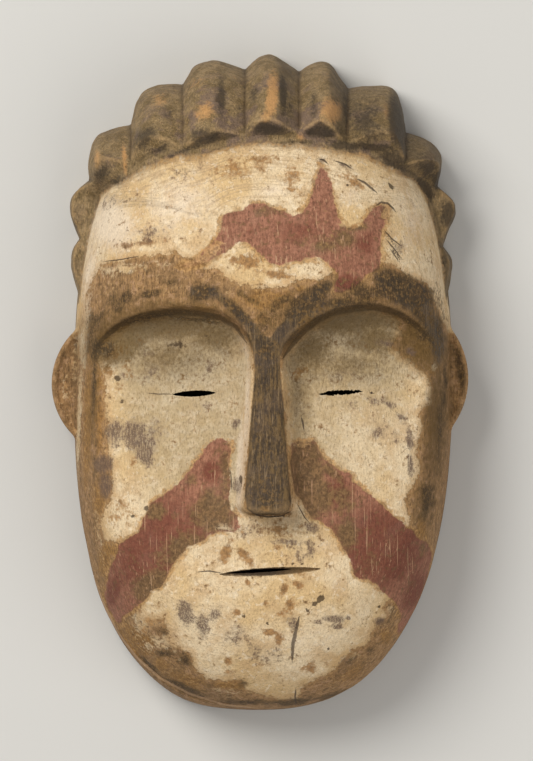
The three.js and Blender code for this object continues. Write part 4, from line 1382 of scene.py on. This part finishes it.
def painted_wood():
    """Carved wood with worn clay paint: wood first, then each coat and what has worn it."""
    paint = Paint("painted_wood")
    paint.broad = paint.noise(0.055, 3, 0.6)
    paint.medium = paint.noise(0.3, 5, 0.62, 1)
    paint.small = paint.noise(1.0, 4, 0.65, 2)
    paint.speck = paint.noise(2.7, 2, 0.6, 3)
    paint.fibre = paint.noise((1.5, 0.12, 1.5), 4, 0.6, 4, 0.3)
    paint.pores = paint.noise((2.6, 0.9, 2.6), 2, 0.5, 5)
    paint.scratch = paint.noise((1.9, 0.045, 1.9), 2, 0.5, 6, 0.1)
    paint.blotch = paint.noise(0.13, 4, 0.6, 8)
    paint.patch = paint.noise(0.55, 4, 0.6, 9)
    paint.streak = paint.noise((3.0, 0.4, 3.0), 4, 0.7, 10)
    paint.grain = paint.plus(paint.times(paint.fibre, 0.5), (paint.small, 0.5))
    paint.relief, paint.hair_back, paint.height = map(paint.field, ("relief", "hair", "height"))

    sweep = paint.noise_on(paint.field("back"), paint.field("sweep"), 1.1, 0.08, 3, 0.6)
    brushed = paint.times(paint.step(sweep, 0.5, 0.61), paint.field("forehead"))
    colour, covered = face_clay(paint, bare_wood(paint), brushed)
    colour = shade_dirt_and_wear(paint, colour)
    colour, reddened = red_earth(paint, colour)
    colour, stained, nose = dark_stain(paint, colour)
    colour, haired = hair_over(paint, colour)
    colour, cracks_and_shadow_line = mouth_shade_and_marks(paint, colour, haired, nose)
    colour = raw_back(paint, colour, haired)
    paint.links.new(colour, paint.shader.inputs["Base Color"])

    roughness = paint.plus(0.86, (stained, -0.24), (haired, -0.14), (paint.centred(paint.small), 0.25))
    paint.links.new(roughness, paint.shader.inputs["Roughness"])
    paint.shader.inputs["Specular IOR Level"].default_value = 0.35

    coat = paint.plus(paint.times(paint.less(covered, reddened), 0.12), (reddened, 0.08))
    bumps(paint, paint.plus(
        coat,
        (paint.step(paint.pores, 0.7, 0.56), 0.1),
        (paint.fibre, 0.15),
        (paint.small, 0.35),
        (paint.medium, 0.35),
        (brushed, -0.06),
        (cracks_and_shadow_line, -0.3),
    ))
    return paint.material


def main():
    mask, relief = carved_mask()
    paint_fields(mask, relief)
    mask.data.materials.clear()
    mask.data.materials.append(painted_wood())
    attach(mask, "root")
    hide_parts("mask")


def floor():
    reach = 3000
    corners = [(-reach, -reach, 0), (reach, -reach, 0), (reach, reach, 0), (-reach, reach, 0)]
    plane = mesh_object("floor", corners, [(0, 1, 2, 3)])
    pale = bpy.data.materials.new("pale_floor")
    pale.use_nodes = True
    shader = pale.node_tree.nodes["Principled BSDF"]
    shader.inputs["Base Color"].default_value = (0.62, 0.62, 0.61, 1)
    shader.inputs["Roughness"].default_value = 0.9
    plane.data.materials.append(pale)


def area_light(name, place, size, power, colour):
    """A round light that looks at the middle of the mask."""
    data = bpy.data.lights.new(name, "AREA")
    data.shape = "DISK"
    data.size = size
    data.energy = power
    data.color = colour
    light = bpy.data.objects.new(name, data)
    light.location = place
    light.rotation_euler = (Vector(LIT_PLACE) - Vector(place)).to_track_quat("-Z", "Y").to_euler()
    bpy.context.scene.collection.objects.link(light)


def lights():
    area_light("key", place=(-0.6, 0.55, 1.1), size=0.75, power=14.8, colour=(1, 0.97, 0.91))
    area_light("fill", place=(0.7, -0.5, 0.95), size=1.3, power=5.5, colour=(1, 0.95, 0.88))
    world = bpy.data.worlds.new("soft")
    world.use_nodes = True
    background = world.node_tree.nodes["Background"]
    background.inputs["Color"].default_value = (1, 0.985, 0.96, 1)
    background.inputs["Strength"].default_value = 0.33
    bpy.context.scene.world = world


def camera():
    """Looks straight down from so far that it shows the mask's plan at the picture's own scale."""
    width, height = PICTURE_SIZE
    lens, sensor = 1000, 36
    data = bpy.data.cameras.new("camera")
    data.lens = lens
    data.sensor_width = sensor
    data.sensor_fit = "AUTO"
    middle_depth = 20
    distance = height * PIXEL * lens / sensor + middle_depth
    cam = bpy.data.objects.new("camera", data)
    left, up = width / 2 - PICTURE_MIDDLE[0], PICTURE_MIDDLE[1] - height / 2
    cam.location = (left * PIXEL * MM, up * PIXEL * MM, distance * MM)
    bpy.context.scene.collection.objects.link(cam)
    bpy.context.scene.camera = cam


camera()
main()
floor()
lights()
bpy.context.scene.view_settings.view_transform = "Standard"
